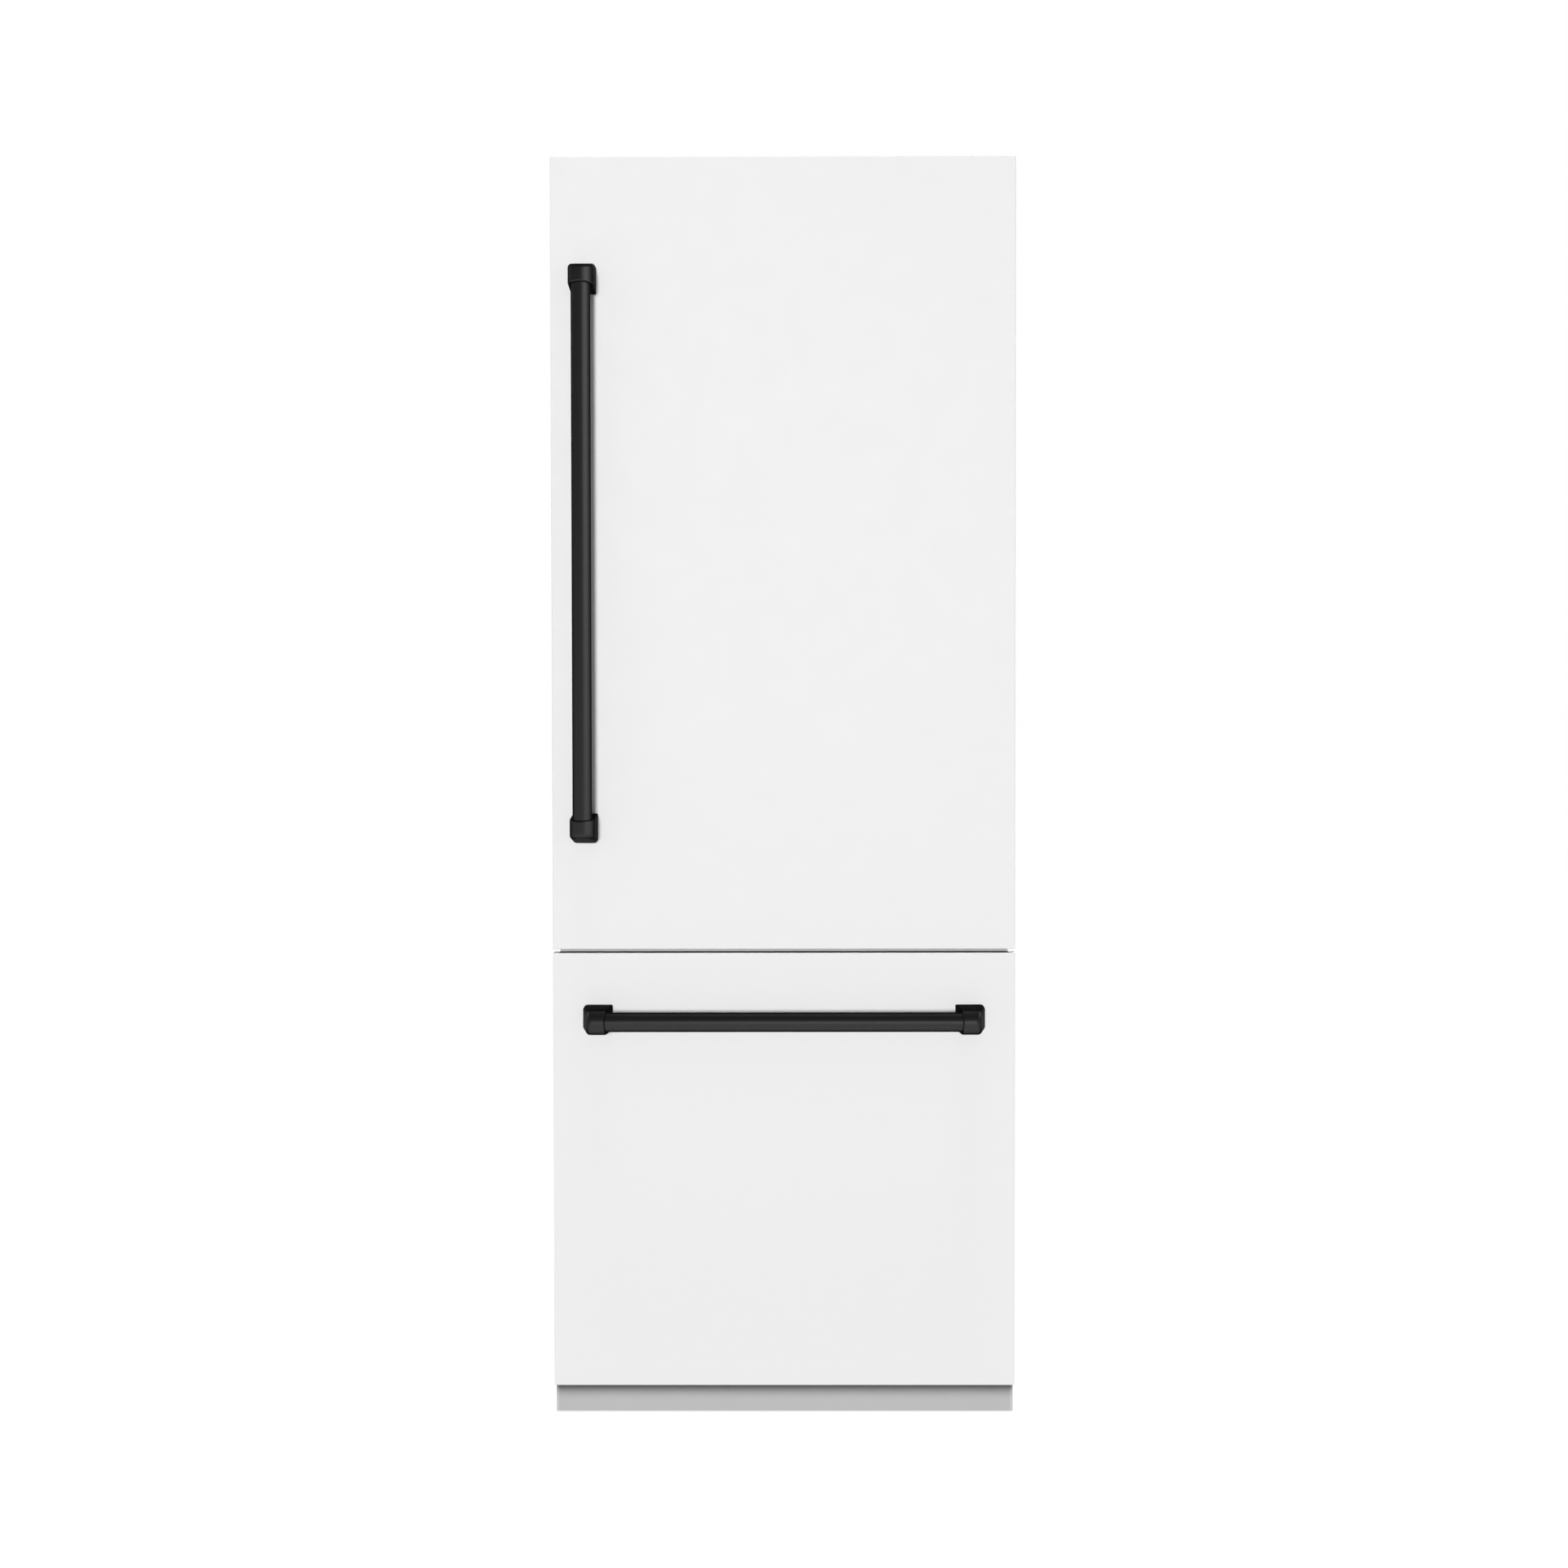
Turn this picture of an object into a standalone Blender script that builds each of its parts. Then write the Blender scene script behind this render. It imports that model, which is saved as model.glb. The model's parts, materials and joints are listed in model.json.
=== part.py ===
"""Built-in bottom-freezer refrigerator: one tall slab door over one freezer drawer.

Metres, +Z up. The front faces -Y, +X is to the right of somebody who faces it, and the
origin is on the floor under the middle of the bounding box.
"""

import math

import bmesh
import bpy
from mathutils import Matrix, Vector

# Fronts
FRONT_HALF_WIDTH = 0.375
FRONT_DEEP = 0.019
FRONT_SHEET = 0.0012
FRONT_Y = -0.277
DRAWER_BOTTOM = 0.054
DRAWER_TOP = 0.761
DOOR_BOTTOM = 0.767
DOOR_TOP = 2.046
FRONT_EDGE_ROUND = 0.0015

# Insulated cores behind the fronts; a span is a lowest and a highest Z
CORE_HALF_WIDTH = 0.368
CORE_FRONT_Y = -0.2585
CORE_BACK_Y = -0.2140
DOOR_CORE_SPAN = (0.771, 2.0245)
DRAWER_CORE_SPAN = (0.064, 0.757)

# Inner sheets and gaskets of the door and the drawer
SEAL_HALF_WIDTH = 0.350
SEAL_WIDE = 0.015
DOOR_SEAL_SPAN = (0.781, 2.012)
DRAWER_SEAL_SPAN = (0.078, 0.731)
INNER_SHEET = 0.003
DOOR_FRAME_LOW = (-0.306, 0.812)
DOOR_FRAME_HIGH = (0.306, 1.968)
DOOR_FRAME_WALL = 0.012
DOOR_FRAME_BACK_Y = -0.165
DRAWER_BULGE_LOW = (-0.296, 0.135)
DRAWER_BULGE_HIGH = (0.296, 0.690)
DRAWER_BULGE_BACK_Y = -0.2060

# Cabinet
CABINET_HALF_WIDTH = 0.367
CABINET_FRONT_Y = -0.202
CABINET_BACK_Y = 0.347
CABINET_TOP = 2.0265
CABINET_BOTTOM = 0.022
SHEET = 0.0012
BASE_PLATE = 0.003
BASE_LIP_TOP = 0.060
GAP = 0.0003
OVERSHOOT = 0.010

# Cavities in the foam, and the machine compartment at the bottom rear
CAVITY_HALF_WIDTH = 0.320
LINER = 0.002
FRIDGE_BOTTOM = 0.800
FRIDGE_TOP = 1.982
FRIDGE_BACK_Y = 0.300
FREEZER_BOTTOM = 0.112
FREEZER_TOP = 0.712
FREEZER_BACK_Y = 0.145
FREEZER_STEP_Z = 0.380
FREEZER_STEP_BACK_Y = 0.290
MACHINE_FRONT_Y = 0.195
MACHINE_TOP = 0.330

# Rear sheet: two stacks of air slots, and the power inlet
SLOT_MIDDLES_X = (-0.19, 0.10)
SLOT_HALF_LENGTH = 0.100
SLOT_ROWS = 7
SLOT_BOTTOM = 0.080
SLOT_PITCH = 0.026
SLOT_TALL = 0.007
INLET_X = (0.275, 0.325)
INLET_Z = (0.245, 0.275)
INLET_FRONT_Y = 0.322
INLET_WALL = 0.006

# Kick plate and levelling feet
KICK_HALF_WIDTH = 0.3745
KICK_END = 0.0045
KICK_SHEET = 0.0015
KICK_SET_BACK = 0.024
KICK_SPAN = (0.003, 0.060)
FOOT_X = 0.320
FOOT_FRONT_Y = -0.160
FOOT_REAR_Y = 0.300

# Handles
BAR_RADIUS = 0.0155
CAP_RADIUS = 0.0200
BAR_STAND_OFF = 0.050
CAP_BASE_HALF = 0.0235
CAP_NOSE_HALF = 0.0150
CAP_STRAIGHT = 0.012
CAP_ROUND = 0.0022
SOCKET_CLEAR = 0.0003
SOCKET_REACH = 0.050
DOOR_HANDLE_X = -0.321
DOOR_HANDLE_HALF_LENGTH = 0.4655
DRAWER_HANDLE_Z = 0.657
DRAWER_HANDLE_HALF_LENGTH = 0.325

# Hinge
HINGE_X = 0.352
HINGE_Y = -0.236
PIN_RADIUS = 0.0040
PIN_HOLE_RADIUS = 0.00408
ARM_RADIUS = 0.0125
ARM_THICK = 0.0040
ARM_REACH = 0.060
TOP_ARM_BACK_Y = -0.150
TOP_ARM_TAPER_Y = -0.195
TOP_ARM_NECK = 0.012
MIDDLE_ARM_TAPER_Y = -0.222
MIDDLE_FOOT_THICK = 0.003
MIDDLE_FOOT_Z = (0.740, 0.779)
PIN_HOLE_DEEP = 0.016
TOP_PIN_END = 2.0115
MIDDLE_PIN_END = 0.7850

# Inside the refrigerator
SHELF_LEVELS = {"shelf_lower": 1.300, "shelf_middle": 1.520, "shelf_upper": 1.740}
CRISPER_COVER_Z = 1.080
SHELF_FRONT_Y = -0.095
SHELF_BACK_Y = 0.262
SHELF_THICK = 0.005
SHELF_CLEAR = 0.002
LEDGE_DEEP = 0.009
LEDGE_TALL = 0.008
LEDGE_FRONT_Y = -0.090
LEDGE_BACK_Y = 0.255
CRISPER_X = {"left": (-0.307, -0.002), "right": (0.002, 0.307)}
CRISPER_Y = (-0.080, 0.255)
CRISPER_TOP = 1.060
PULL_Z = (0.985, 1.000)
PULL_DEEP = 0.012
PULL_INSET = 0.020
TOWER_LOW = (-0.085, 0.268, 0.870)
TOWER_HALF_WIDTH = 0.085
TOWER_TOP = 1.940
VENT_LEVELS = (1.20, 1.42, 1.64, 1.86)
VENT_HALF_WIDTH = 0.060
VENT_TALL = 0.012
VENT_DEEP = 0.007
LAMP_HALF_SIZE = (0.170, 0.060)
LAMP_THICK = 0.016
LAMP_ROUND = 0.004
BIN_WALL = 0.003
BIN_HALF_WIDTH = 0.290
BIN_BACK_Y = -0.112
BIN_LEVELS = {"door_bin_bottom": (0.830, 0.150), "door_bin_middle": (1.180, 0.110),
              "door_bin_top": (1.530, 0.095)}

# Freezer slides: the outer rail's lowest and highest Z, and what each rail nests in
RAIL_LOW = 0.400
RAIL_HIGH = 0.440
RAIL_FRONT_Y = -0.190
RAIL_BACK_Y = 0.130
RAIL_SHEET = 0.0015
RAIL_NEST = 0.0025
OUTER_RAIL = (0.3172, 0.0135)
MIDDLE_RAIL = (0.3142, 0.0125)
INNER_RAIL_FRONT_Y = -0.205
INNER_RAIL_X = (0.3000, 0.3112)
BASKET_LIP_X = (0.2885, 0.3005)
BASKET_LIP_Z = (0.4265, 0.4280)

# Freezer basket, with a rim that rests on the inner rails' lips, and the tray over it
BASKET_WALL = 0.003
BASKET_RIM_LOW = (-0.2997, -0.195, 0.4284)
BASKET_RIM_HIGH = (0.2997, 0.135, 0.4340)
BASKET_LOW = (-0.285, -0.185, 0.126)
BASKET_HIGH = (0.285, 0.128, 0.433)
TRAY_LOW = (-0.292, -0.185, 0.4345)
TRAY_HIGH = (0.292, 0.085, 0.540)

# Freezer evaporator and its cover
FIN_COUNT = 26
FIN_PITCH = 0.020
FIN_THICK = 0.002
FIN_FRONT_Y = 0.2445
FIN_SPINE_Y = 0.2820
EVAPORATOR_BACK_Y = 0.2865
EVAPORATOR_BOTTOM = 0.410
EVAPORATOR_TALL = 0.140
COVER_FRONT_Y = 0.2150
COVER_BACK_Y = 0.2340
RETURN_HALF_WIDTH = 0.220
RETURN_RISE = 0.020
RETURN_TALL = 0.015

# Condenser coil: two upright layers of runs from side to side
COIL_ENDS = (-0.315, -0.065)
COIL_LAYERS_Y = (0.235, 0.300)
COIL_BOTTOM = 0.062
COIL_PITCH = 0.022
COIL_ROWS = 6
COIL_TUBE_RADIUS = 0.0045

# Compressor and drain pan
COMPRESSOR_PLACE = (0.190, 0.268, 0)
PAN_LOW = (-0.330, 0.203)
PAN_HIGH = (-0.050, 0.335, 0.048)
PAN_WALL = 0.002

# Machine compartment fan and freezer fan
CONDENSER_FAN = Vector((-0.020, 0.270, 0.112))
CONDENSER_FAN_TIP = 0.053
CONDENSER_FAN_MOUTH = 0.058
CONDENSER_FAN_THICK = 0.014
SHROUD_HALF_THICK = 0.010
SHROUD_LOW = (0.205, 0.034)
SHROUD_HIGH = (0.335, 0.190)
EVAPORATOR_FAN = Vector((0.0, 0.2245, 0.600))
EVAPORATOR_FAN_TIP = 0.056
EVAPORATOR_FAN_MOUTH = 0.062
EVAPORATOR_FAN_THICK = 0.012
FAN_HUB = 0.016
FAN_BLADES = 5
FAN_BLADE_SHARE = 0.62
FAN_TWIST = math.radians(14)

# Which side of the middle each of a pair is on
SIDES = {"left": -1, "right": 1}

FINISHES = {
    "white_front": ((0.86, 0.86, 0.86), 0.55, 0.0),
    "black_metal": ((0.030, 0.030, 0.031), 0.42, 0.0),
    "grey_metal": ((0.55, 0.55, 0.55), 0.45, 0.0),
    "wrapper_grey": ((0.42, 0.43, 0.44), 0.50, 0.0),
    "zinc_steel": ((0.60, 0.61, 0.62), 0.38, 1.0),
    "foam": ((0.80, 0.72, 0.50), 0.90, 0.0),
    "liner_white": ((0.88, 0.89, 0.90), 0.35, 0.0),
    "core_grey": ((0.38, 0.39, 0.40), 0.50, 0.0),
    "gasket_grey": ((0.24, 0.24, 0.25), 0.75, 0.0),
    "clear_bin": ((0.85, 0.90, 0.93), 0.15, 0.0),
    "shelf_glass": ((0.80, 0.90, 0.88), 0.06, 0.0),
    "duct_grey": ((0.72, 0.73, 0.74), 0.45, 0.0),
    "lamp": ((0.95, 0.95, 0.92), 0.30, 0.0),
    "fin_aluminium": ((0.75, 0.76, 0.77), 0.35, 1.0),
    "compressor_black": ((0.035, 0.035, 0.038), 0.40, 0.0),
    "copper": ((0.72, 0.38, 0.24), 0.32, 1.0),
    "dark_plastic": ((0.08, 0.08, 0.085), 0.55, 0.0),
    "foot_black": ((0.05, 0.05, 0.05), 0.70, 0.0),
}


def clear_scene():
    for old in list(bpy.data.objects):
        bpy.data.objects.remove(old, do_unlink=True)


def new_collection(name):
    group = bpy.data.collections.new(name)
    bpy.context.scene.collection.children.link(group)
    return group


clear_scene()
PART = new_collection("bottom_freezer_refrigerator")
CUTTERS = new_collection("cutters")


def material_for(slot, name):
    """A material of the named piece's own, in the finish that slot names."""
    colour, roughness, metallic = FINISHES[slot]
    made = bpy.data.materials.new(f"{name}_{slot}")
    made.use_nodes = True
    shader = made.node_tree.nodes["Principled BSDF"]
    shader.inputs["Base Color"].default_value = (*colour, 1.0)
    shader.inputs["Roughness"].default_value = roughness
    shader.inputs["Metallic"].default_value = metallic
    made.diffuse_color = (*colour, 1.0)
    return made


def finish_mesh(bm, name):
    bmesh.ops.recalc_face_normals(bm, faces=bm.faces)
    mesh = bpy.data.meshes.new(name)
    bm.to_mesh(mesh)
    bm.free()
    return mesh


def add_piece(name, mesh, slot):
    piece = bpy.data.objects.new(name, mesh)
    PART.objects.link(piece)
    mesh.materials.append(material_for(slot, name))
    return piece


def add_boxes(bm, boxes):
    for low, high in boxes:
        low, high = Vector(low), Vector(high)
        size = high - low
        place = Matrix.Translation((low + high) / 2) @ Matrix.Diagonal((*size, 1.0))
        bmesh.ops.create_cube(bm, size=1.0, matrix=place)


def block(name, low, high, slot):
    bm = bmesh.new()
    add_boxes(bm, [(low, high)])
    return add_piece(name, finish_mesh(bm, name), slot)


def add_helper(name, bm):
    helper = bpy.data.objects.new(name, finish_mesh(bm, name))
    CUTTERS.objects.link(helper)
    helper.hide_render = True
    helper.display_type = "WIRE"
    return helper


def combine(piece, bm, operation="DIFFERENCE"):
    """Cuts the shape in bm from the piece, or joins it to the piece."""
    step = len(piece.modifiers)
    modifier = piece.modifiers.new(f"{operation.lower()}_{step}", "BOOLEAN")
    modifier.operation = operation
    modifier.solver = "EXACT"
    modifier.object = add_helper(f"{piece.name}_cutter_{step}", bm)


def cut_boxes(piece, boxes):
    bm = bmesh.new()
    add_boxes(bm, boxes)
    combine(piece, bm)


def join_boxes(piece, boxes):
    bm = bmesh.new()
    add_boxes(bm, boxes)
    combine(piece, bm, "UNION")


def round_edges(piece, width, segments=2, angle=35):
    modifier = piece.modifiers.new("round_edges", "BEVEL")
    modifier.width = width
    modifier.segments = segments
    modifier.limit_method = "ANGLE"
    modifier.angle_limit = math.radians(angle)
    modifier.use_clamp_overlap = True


def cylinder_between(bm, start, end, radius, segments=32):
    start, end = Vector(start), Vector(end)
    turn = (end - start).to_track_quat("Z", "Y").to_matrix().to_4x4()
    place = Matrix.Translation((start + end) / 2) @ turn
    bmesh.ops.create_cone(bm, cap_ends=True, segments=segments, radius1=radius,
                          radius2=radius, depth=(end - start).length, matrix=place)


def lathe(name, centre, profile, slot, segments=32):
    """Turns a profile of (radius, height) pairs, from its top to its bottom, about +Z."""
    bm = bmesh.new()
    points = [bm.verts.new((radius, 0, height)) for radius, height in profile]
    for upper, lower in zip(points, points[1:]):
        bm.edges.new((upper, lower))
    mesh = bpy.data.meshes.new(name)
    bm.to_mesh(mesh)
    bm.free()
    piece = add_piece(name, mesh, slot)
    piece.location = centre
    turn = piece.modifiers.new("turn", "SCREW")
    turn.steps = segments
    turn.render_steps = segments
    turn.use_smooth_shade = True
    turn.use_merge_vertices = True
    turn.merge_threshold = 0.0001
    return piece


def prism(name, points, place, depth, slot, twist=0.0):
    """Extrudes a flat outline by depth along local +Z, turning it by twist on the way."""
    bm = bmesh.new()
    outline = bm.faces.new([bm.verts.new((x, y, 0)) for x, y in points])
    raised = bmesh.ops.extrude_face_region(bm, geom=[outline], use_keep_orig=True)["geom"]
    moved = [item for item in raised if isinstance(item, bmesh.types.BMVert)]
    turn = Matrix.Translation((0, 0, depth)) @ Matrix.Rotation(twist, 4, "Z")
    bmesh.ops.transform(bm, matrix=turn, verts=moved)
    bmesh.ops.transform(bm, matrix=place, verts=bm.verts)
    return add_piece(name, finish_mesh(bm, name), slot)


def open_box(name, low, high, wall, slot):
    """A thin-walled box with no top."""
    piece = block(name, low, high, slot)
    inner_low = (low[0] + wall, low[1] + wall, low[2] + wall)
    inner_high = (high[0] - wall, high[1] - wall, high[2] + OVERSHOOT)
    cut_boxes(piece, [(inner_low, inner_high)])
    return piece


def flat_ring(name, low, high, inner_low, inner_high, slot):
    """A plate across Y with a rectangular hole; the inner pairs are (x, z)."""
    piece = block(name, low, high, slot)
    hole_low = (inner_low[0], low[1] - OVERSHOOT, inner_low[1])
    hole_high = (inner_high[0], high[1] + OVERSHOOT, inner_high[1])
    cut_boxes(piece, [(hole_low, hole_high)])
    return piece


def front_skin(name, bottom, top):
    """A folded sheet-metal front: a flat face with returns all round, open at the back."""
    bm = bmesh.new()
    low = (-FRONT_HALF_WIDTH, FRONT_Y, bottom)
    high = (FRONT_HALF_WIDTH, FRONT_Y + FRONT_DEEP, top)
    add_boxes(bm, [(low, high)])
    behind_face = (low[1] + high[1]) / 2
    edges = [e for e in bm.edges if not all(v.co.y > behind_face for v in e.verts)]
    bmesh.ops.bevel(bm, geom=edges, offset=FRONT_EDGE_ROUND, segments=3, profile=0.5,
                    affect="EDGES")
    skin = add_piece(name, finish_mesh(bm, name), "white_front")
    cut_boxes(skin, [((low[0] + FRONT_SHEET, low[1] + FRONT_SHEET, low[2] + FRONT_SHEET),
                      (high[0] - FRONT_SHEET, high[1] + OVERSHOOT, high[2] - FRONT_SHEET))])
    return skin


def insulated_core(name, front_bottom, front_top, span):
    """Foam that fills the front skin, with a narrower inner door behind it."""
    inset = FRONT_SHEET + GAP
    core = block(name, (-CORE_HALF_WIDTH, CORE_FRONT_Y, span[0]),
                 (CORE_HALF_WIDTH, CORE_BACK_Y, span[1]), "core_grey")
    half = FRONT_HALF_WIDTH - inset
    join_boxes(core, [((-half, FRONT_Y + inset, front_bottom + inset),
                       (half, CORE_FRONT_Y + GAP, front_top - inset))])
    return core


def cap_half_length(depth):
    """Half the cap's length along the bar, at this depth in front of the slab."""
    nose = BAR_STAND_OFF + CAP_RADIUS
    share = max(0.0, depth - CAP_STRAIGHT) / (nose - CAP_STRAIGHT)
    return CAP_BASE_HALF + (CAP_NOSE_HALF - CAP_BASE_HALF) * share


def cap_profile(steps=14):
    """(across, depth) pairs: straight flanks from the slab, and a half circle round the bar."""
    arc = [math.pi * i / steps for i in range(steps + 1)]
    nose = [(-CAP_RADIUS * math.cos(a), BAR_STAND_OFF + CAP_RADIUS * math.sin(a)) for a in arc]
    return [(-CAP_RADIUS, CAP_STRAIGHT)] + nose + [(CAP_RADIUS, CAP_STRAIGHT)]


def cap_mesh():
    """A handle end cap whose bar runs along local +Z and whose front faces -Y."""
    bm = bmesh.new()
    profile = cap_profile()
    foot = [(-CAP_RADIUS, GAP), (CAP_RADIUS, GAP)]

    def end_row(points, sign):
        return [bm.verts.new((u, -d, sign * cap_half_length(d))) for u, d in points]

    upper, lower = end_row(profile, 1), end_row(profile, -1)
    foot_upper, foot_lower = end_row(foot, 1), end_row(foot, -1)
    for rim, base in ((upper, foot_upper), (lower, foot_lower)):
        bm.faces.new(rim)
        bm.faces.new((rim[-1], rim[0], base[0], base[1]))
    for i in range(len(profile) - 1):
        bm.faces.new((upper[i], upper[i + 1], lower[i + 1], lower[i]))
    bm.faces.new((upper[0], lower[0], foot_lower[0], foot_upper[0]))
    bm.faces.new((upper[-1], lower[-1], foot_lower[1], foot_upper[1]))
    bm.faces.new((foot_upper[0], foot_lower[0], foot_lower[1], foot_upper[1]))
    return bm


def handle_cap(name, place, inward):
    """An end cap at place, with a socket for the bar on the side that inward (+1 or -1) names."""
    bm = cap_mesh()
    bmesh.ops.transform(bm, matrix=place, verts=bm.verts)
    mesh = finish_mesh(bm, name)
    mesh.shade_smooth()
    mesh.set_sharp_from_angle(angle=math.radians(35))
    cap = add_piece(name, mesh, "black_metal")
    round_edges(cap, CAP_ROUND)
    socket = bmesh.new()
    start = place @ Vector((0, -BAR_STAND_OFF, 0))
    end = place @ Vector((0, -BAR_STAND_OFF, inward * SOCKET_REACH))
    cylinder_between(socket, start, end, BAR_RADIUS + SOCKET_CLEAR)
    combine(cap, socket)
    return cap


def handle_bar(name, start, end):
    bm = bmesh.new()
    cylinder_between(bm, start, end, BAR_RADIUS)
    mesh = finish_mesh(bm, name)
    mesh.shade_smooth()
    mesh.set_sharp_from_angle(angle=math.radians(35))
    return add_piece(name, mesh, "black_metal")


def door_handle():
    middle = (DOOR_BOTTOM + DOOR_TOP) / 2
    reach = DOOR_HANDLE_HALF_LENGTH - CAP_BASE_HALF
    top = Matrix.Translation((DOOR_HANDLE_X, FRONT_Y, middle + reach))
    bottom = Matrix.Translation((DOOR_HANDLE_X, FRONT_Y, middle - reach))
    depth = FRONT_Y - BAR_STAND_OFF
    end = reach - 2 * GAP
    return [
        handle_cap("door_handle_cap_top", top, -1),
        handle_cap("door_handle_cap_bottom", bottom, 1),
        handle_bar("door_handle_bar", (DOOR_HANDLE_X, depth, middle - end),
                   (DOOR_HANDLE_X, depth, middle + end)),
    ]


def drawer_handle():
    reach = DRAWER_HANDLE_HALF_LENGTH - CAP_BASE_HALF
    lie = Matrix.Rotation(math.radians(90), 4, "Y")
    left = Matrix.Translation((-reach, FRONT_Y, DRAWER_HANDLE_Z)) @ lie
    right = Matrix.Translation((reach, FRONT_Y, DRAWER_HANDLE_Z)) @ lie
    depth = FRONT_Y - BAR_STAND_OFF
    end = reach - 2 * GAP
    return [
        handle_cap("drawer_handle_cap_left", left, 1),
        handle_cap("drawer_handle_cap_right", right, -1),
        handle_bar("drawer_handle_bar", (-end, depth, DRAWER_HANDLE_Z),
                   (end, depth, DRAWER_HANDLE_Z)),
    ]


def gasket(name, span):
    """A magnetic seal between the inner sheet and the cabinet's face."""
    bottom, top = span
    outer, inner = SEAL_HALF_WIDTH, SEAL_HALF_WIDTH - SEAL_WIDE
    front, back = CORE_BACK_Y + GAP + INNER_SHEET + GAP, CABINET_FRONT_Y - GAP
    return flat_ring(name, (-outer, front, bottom), (outer, back, top),
                     (-inner, bottom + SEAL_WIDE), (inner, top - SEAL_WIDE), "gasket_grey")


def door_core():
    """The door's core, with a hole in each end for a hinge pin."""
    core = insulated_core("door_core", DOOR_BOTTOM, DOOR_TOP, DOOR_CORE_SPAN)
    for end in DOOR_CORE_SPAN:
        hole = bmesh.new()
        cylinder_between(hole, (HINGE_X, HINGE_Y, end - PIN_HOLE_DEEP),
                         (HINGE_X, HINGE_Y, end + PIN_HOLE_DEEP), PIN_HOLE_RADIUS)
        combine(core, hole)
    return core


def inner_sheet(name, span):
    front = CORE_BACK_Y + GAP
    return block(name, (-SEAL_HALF_WIDTH, front, span[0]),
                 (SEAL_HALF_WIDTH, front + INNER_SHEET, span[1]), "liner_white")


def door_liner():
    """The inner door sheet, with a raised frame that the bins hang in."""
    front = CORE_BACK_Y + GAP
    liner = inner_sheet("door_liner", DOOR_SEAL_SPAN)
    (x0, z0), (x1, z1) = DOOR_FRAME_LOW, DOOR_FRAME_HIGH
    wall, back = DOOR_FRAME_WALL, DOOR_FRAME_BACK_Y
    join_boxes(liner, [((x0, front, z0), (x1, back, z1))])
    cut_boxes(liner, [((x0 + wall, front + INNER_SHEET, z0 + wall),
                       (x1 - wall, back + OVERSHOOT, z1 - wall))])
    return liner


def door_bins():
    front = CORE_BACK_Y + GAP + INNER_SHEET + GAP
    return [open_box(name, (-BIN_HALF_WIDTH, front, bottom),
                     (BIN_HALF_WIDTH, BIN_BACK_Y, bottom + tall), BIN_WALL, "clear_bin")
            for name, (bottom, tall) in BIN_LEVELS.items()]


def fridge_door():
    pieces = [front_skin("door_front", DOOR_BOTTOM, DOOR_TOP), door_core(), door_liner(),
              gasket("door_gasket", DOOR_SEAL_SPAN)]
    return pieces + door_bins() + door_handle()


def channel(name, side, shape, low, high):
    """A slide rail; shape is its web's outer |x| and how far its flanges reach inwards."""
    web, flange = shape
    web_x = (side * (web - RAIL_SHEET), side * web)
    flange_x = (side * (web - flange), side * (web - RAIL_SHEET / 2))
    piece = block(name, (min(web_x), RAIL_FRONT_Y, low), (max(web_x), RAIL_BACK_Y, high),
                  "zinc_steel")
    join_boxes(piece, [((min(flange_x), RAIL_FRONT_Y, z),
                        (max(flange_x), RAIL_BACK_Y, z + RAIL_SHEET))
                       for z in (low, high - RAIL_SHEET)])
    return piece


def outer_rails():
    for label, side in SIDES.items():
        channel(f"rail_outer_{label}", side, OUTER_RAIL, RAIL_LOW, RAIL_HIGH)


def middle_rails():
    return {side: channel(f"rail_middle_{label}", side, MIDDLE_RAIL, RAIL_LOW + RAIL_NEST,
                          RAIL_HIGH - RAIL_NEST)
            for label, side in SIDES.items()}


def inner_rails():
    """The rails on the drawer, each with a lip that the basket's rim rests on."""
    low, high, front = RAIL_LOW + 2 * RAIL_NEST, RAIL_HIGH - 2 * RAIL_NEST, INNER_RAIL_FRONT_Y
    pieces = []
    for label, side in SIDES.items():
        x = [side * value for value in INNER_RAIL_X]
        rail = block(f"rail_inner_{label}", (min(x), front, low), (max(x), RAIL_BACK_Y, high),
                     "zinc_steel")
        lip = [side * value for value in BASKET_LIP_X]
        join_boxes(rail, [((min(lip), front, BASKET_LIP_Z[0]),
                           (max(lip), RAIL_BACK_Y, BASKET_LIP_Z[1]))])
        pieces.append(rail)
    return pieces


def lower_basket():
    basket = block("freezer_basket", BASKET_RIM_LOW, BASKET_RIM_HIGH, "clear_bin")
    join_boxes(basket, [(BASKET_LOW, BASKET_HIGH)])
    low = [value + BASKET_WALL for value in BASKET_LOW]
    high = [value - BASKET_WALL for value in BASKET_HIGH]
    cut_boxes(basket, [(low, (high[0], high[1], BASKET_RIM_HIGH[2] + OVERSHOOT))])
    return basket


def drawer_liner():
    liner = inner_sheet("drawer_liner", DRAWER_SEAL_SPAN)
    (x0, z0), (x1, z1) = DRAWER_BULGE_LOW, DRAWER_BULGE_HIGH
    join_boxes(liner, [((x0, CORE_BACK_Y + GAP, z0), (x1, DRAWER_BULGE_BACK_Y, z1))])
    return liner


def freezer_drawer():
    pieces = [front_skin("drawer_front", DRAWER_BOTTOM, DRAWER_TOP),
              insulated_core("drawer_core", DRAWER_BOTTOM, DRAWER_TOP, DRAWER_CORE_SPAN),
              drawer_liner(), gasket("drawer_gasket", DRAWER_SEAL_SPAN), lower_basket()]
    return pieces + inner_rails() + drawer_handle()


def freezer_tray():
    return [open_box("freezer_tray", TRAY_LOW, TRAY_HIGH, BASKET_WALL, "clear_bin")]


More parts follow.
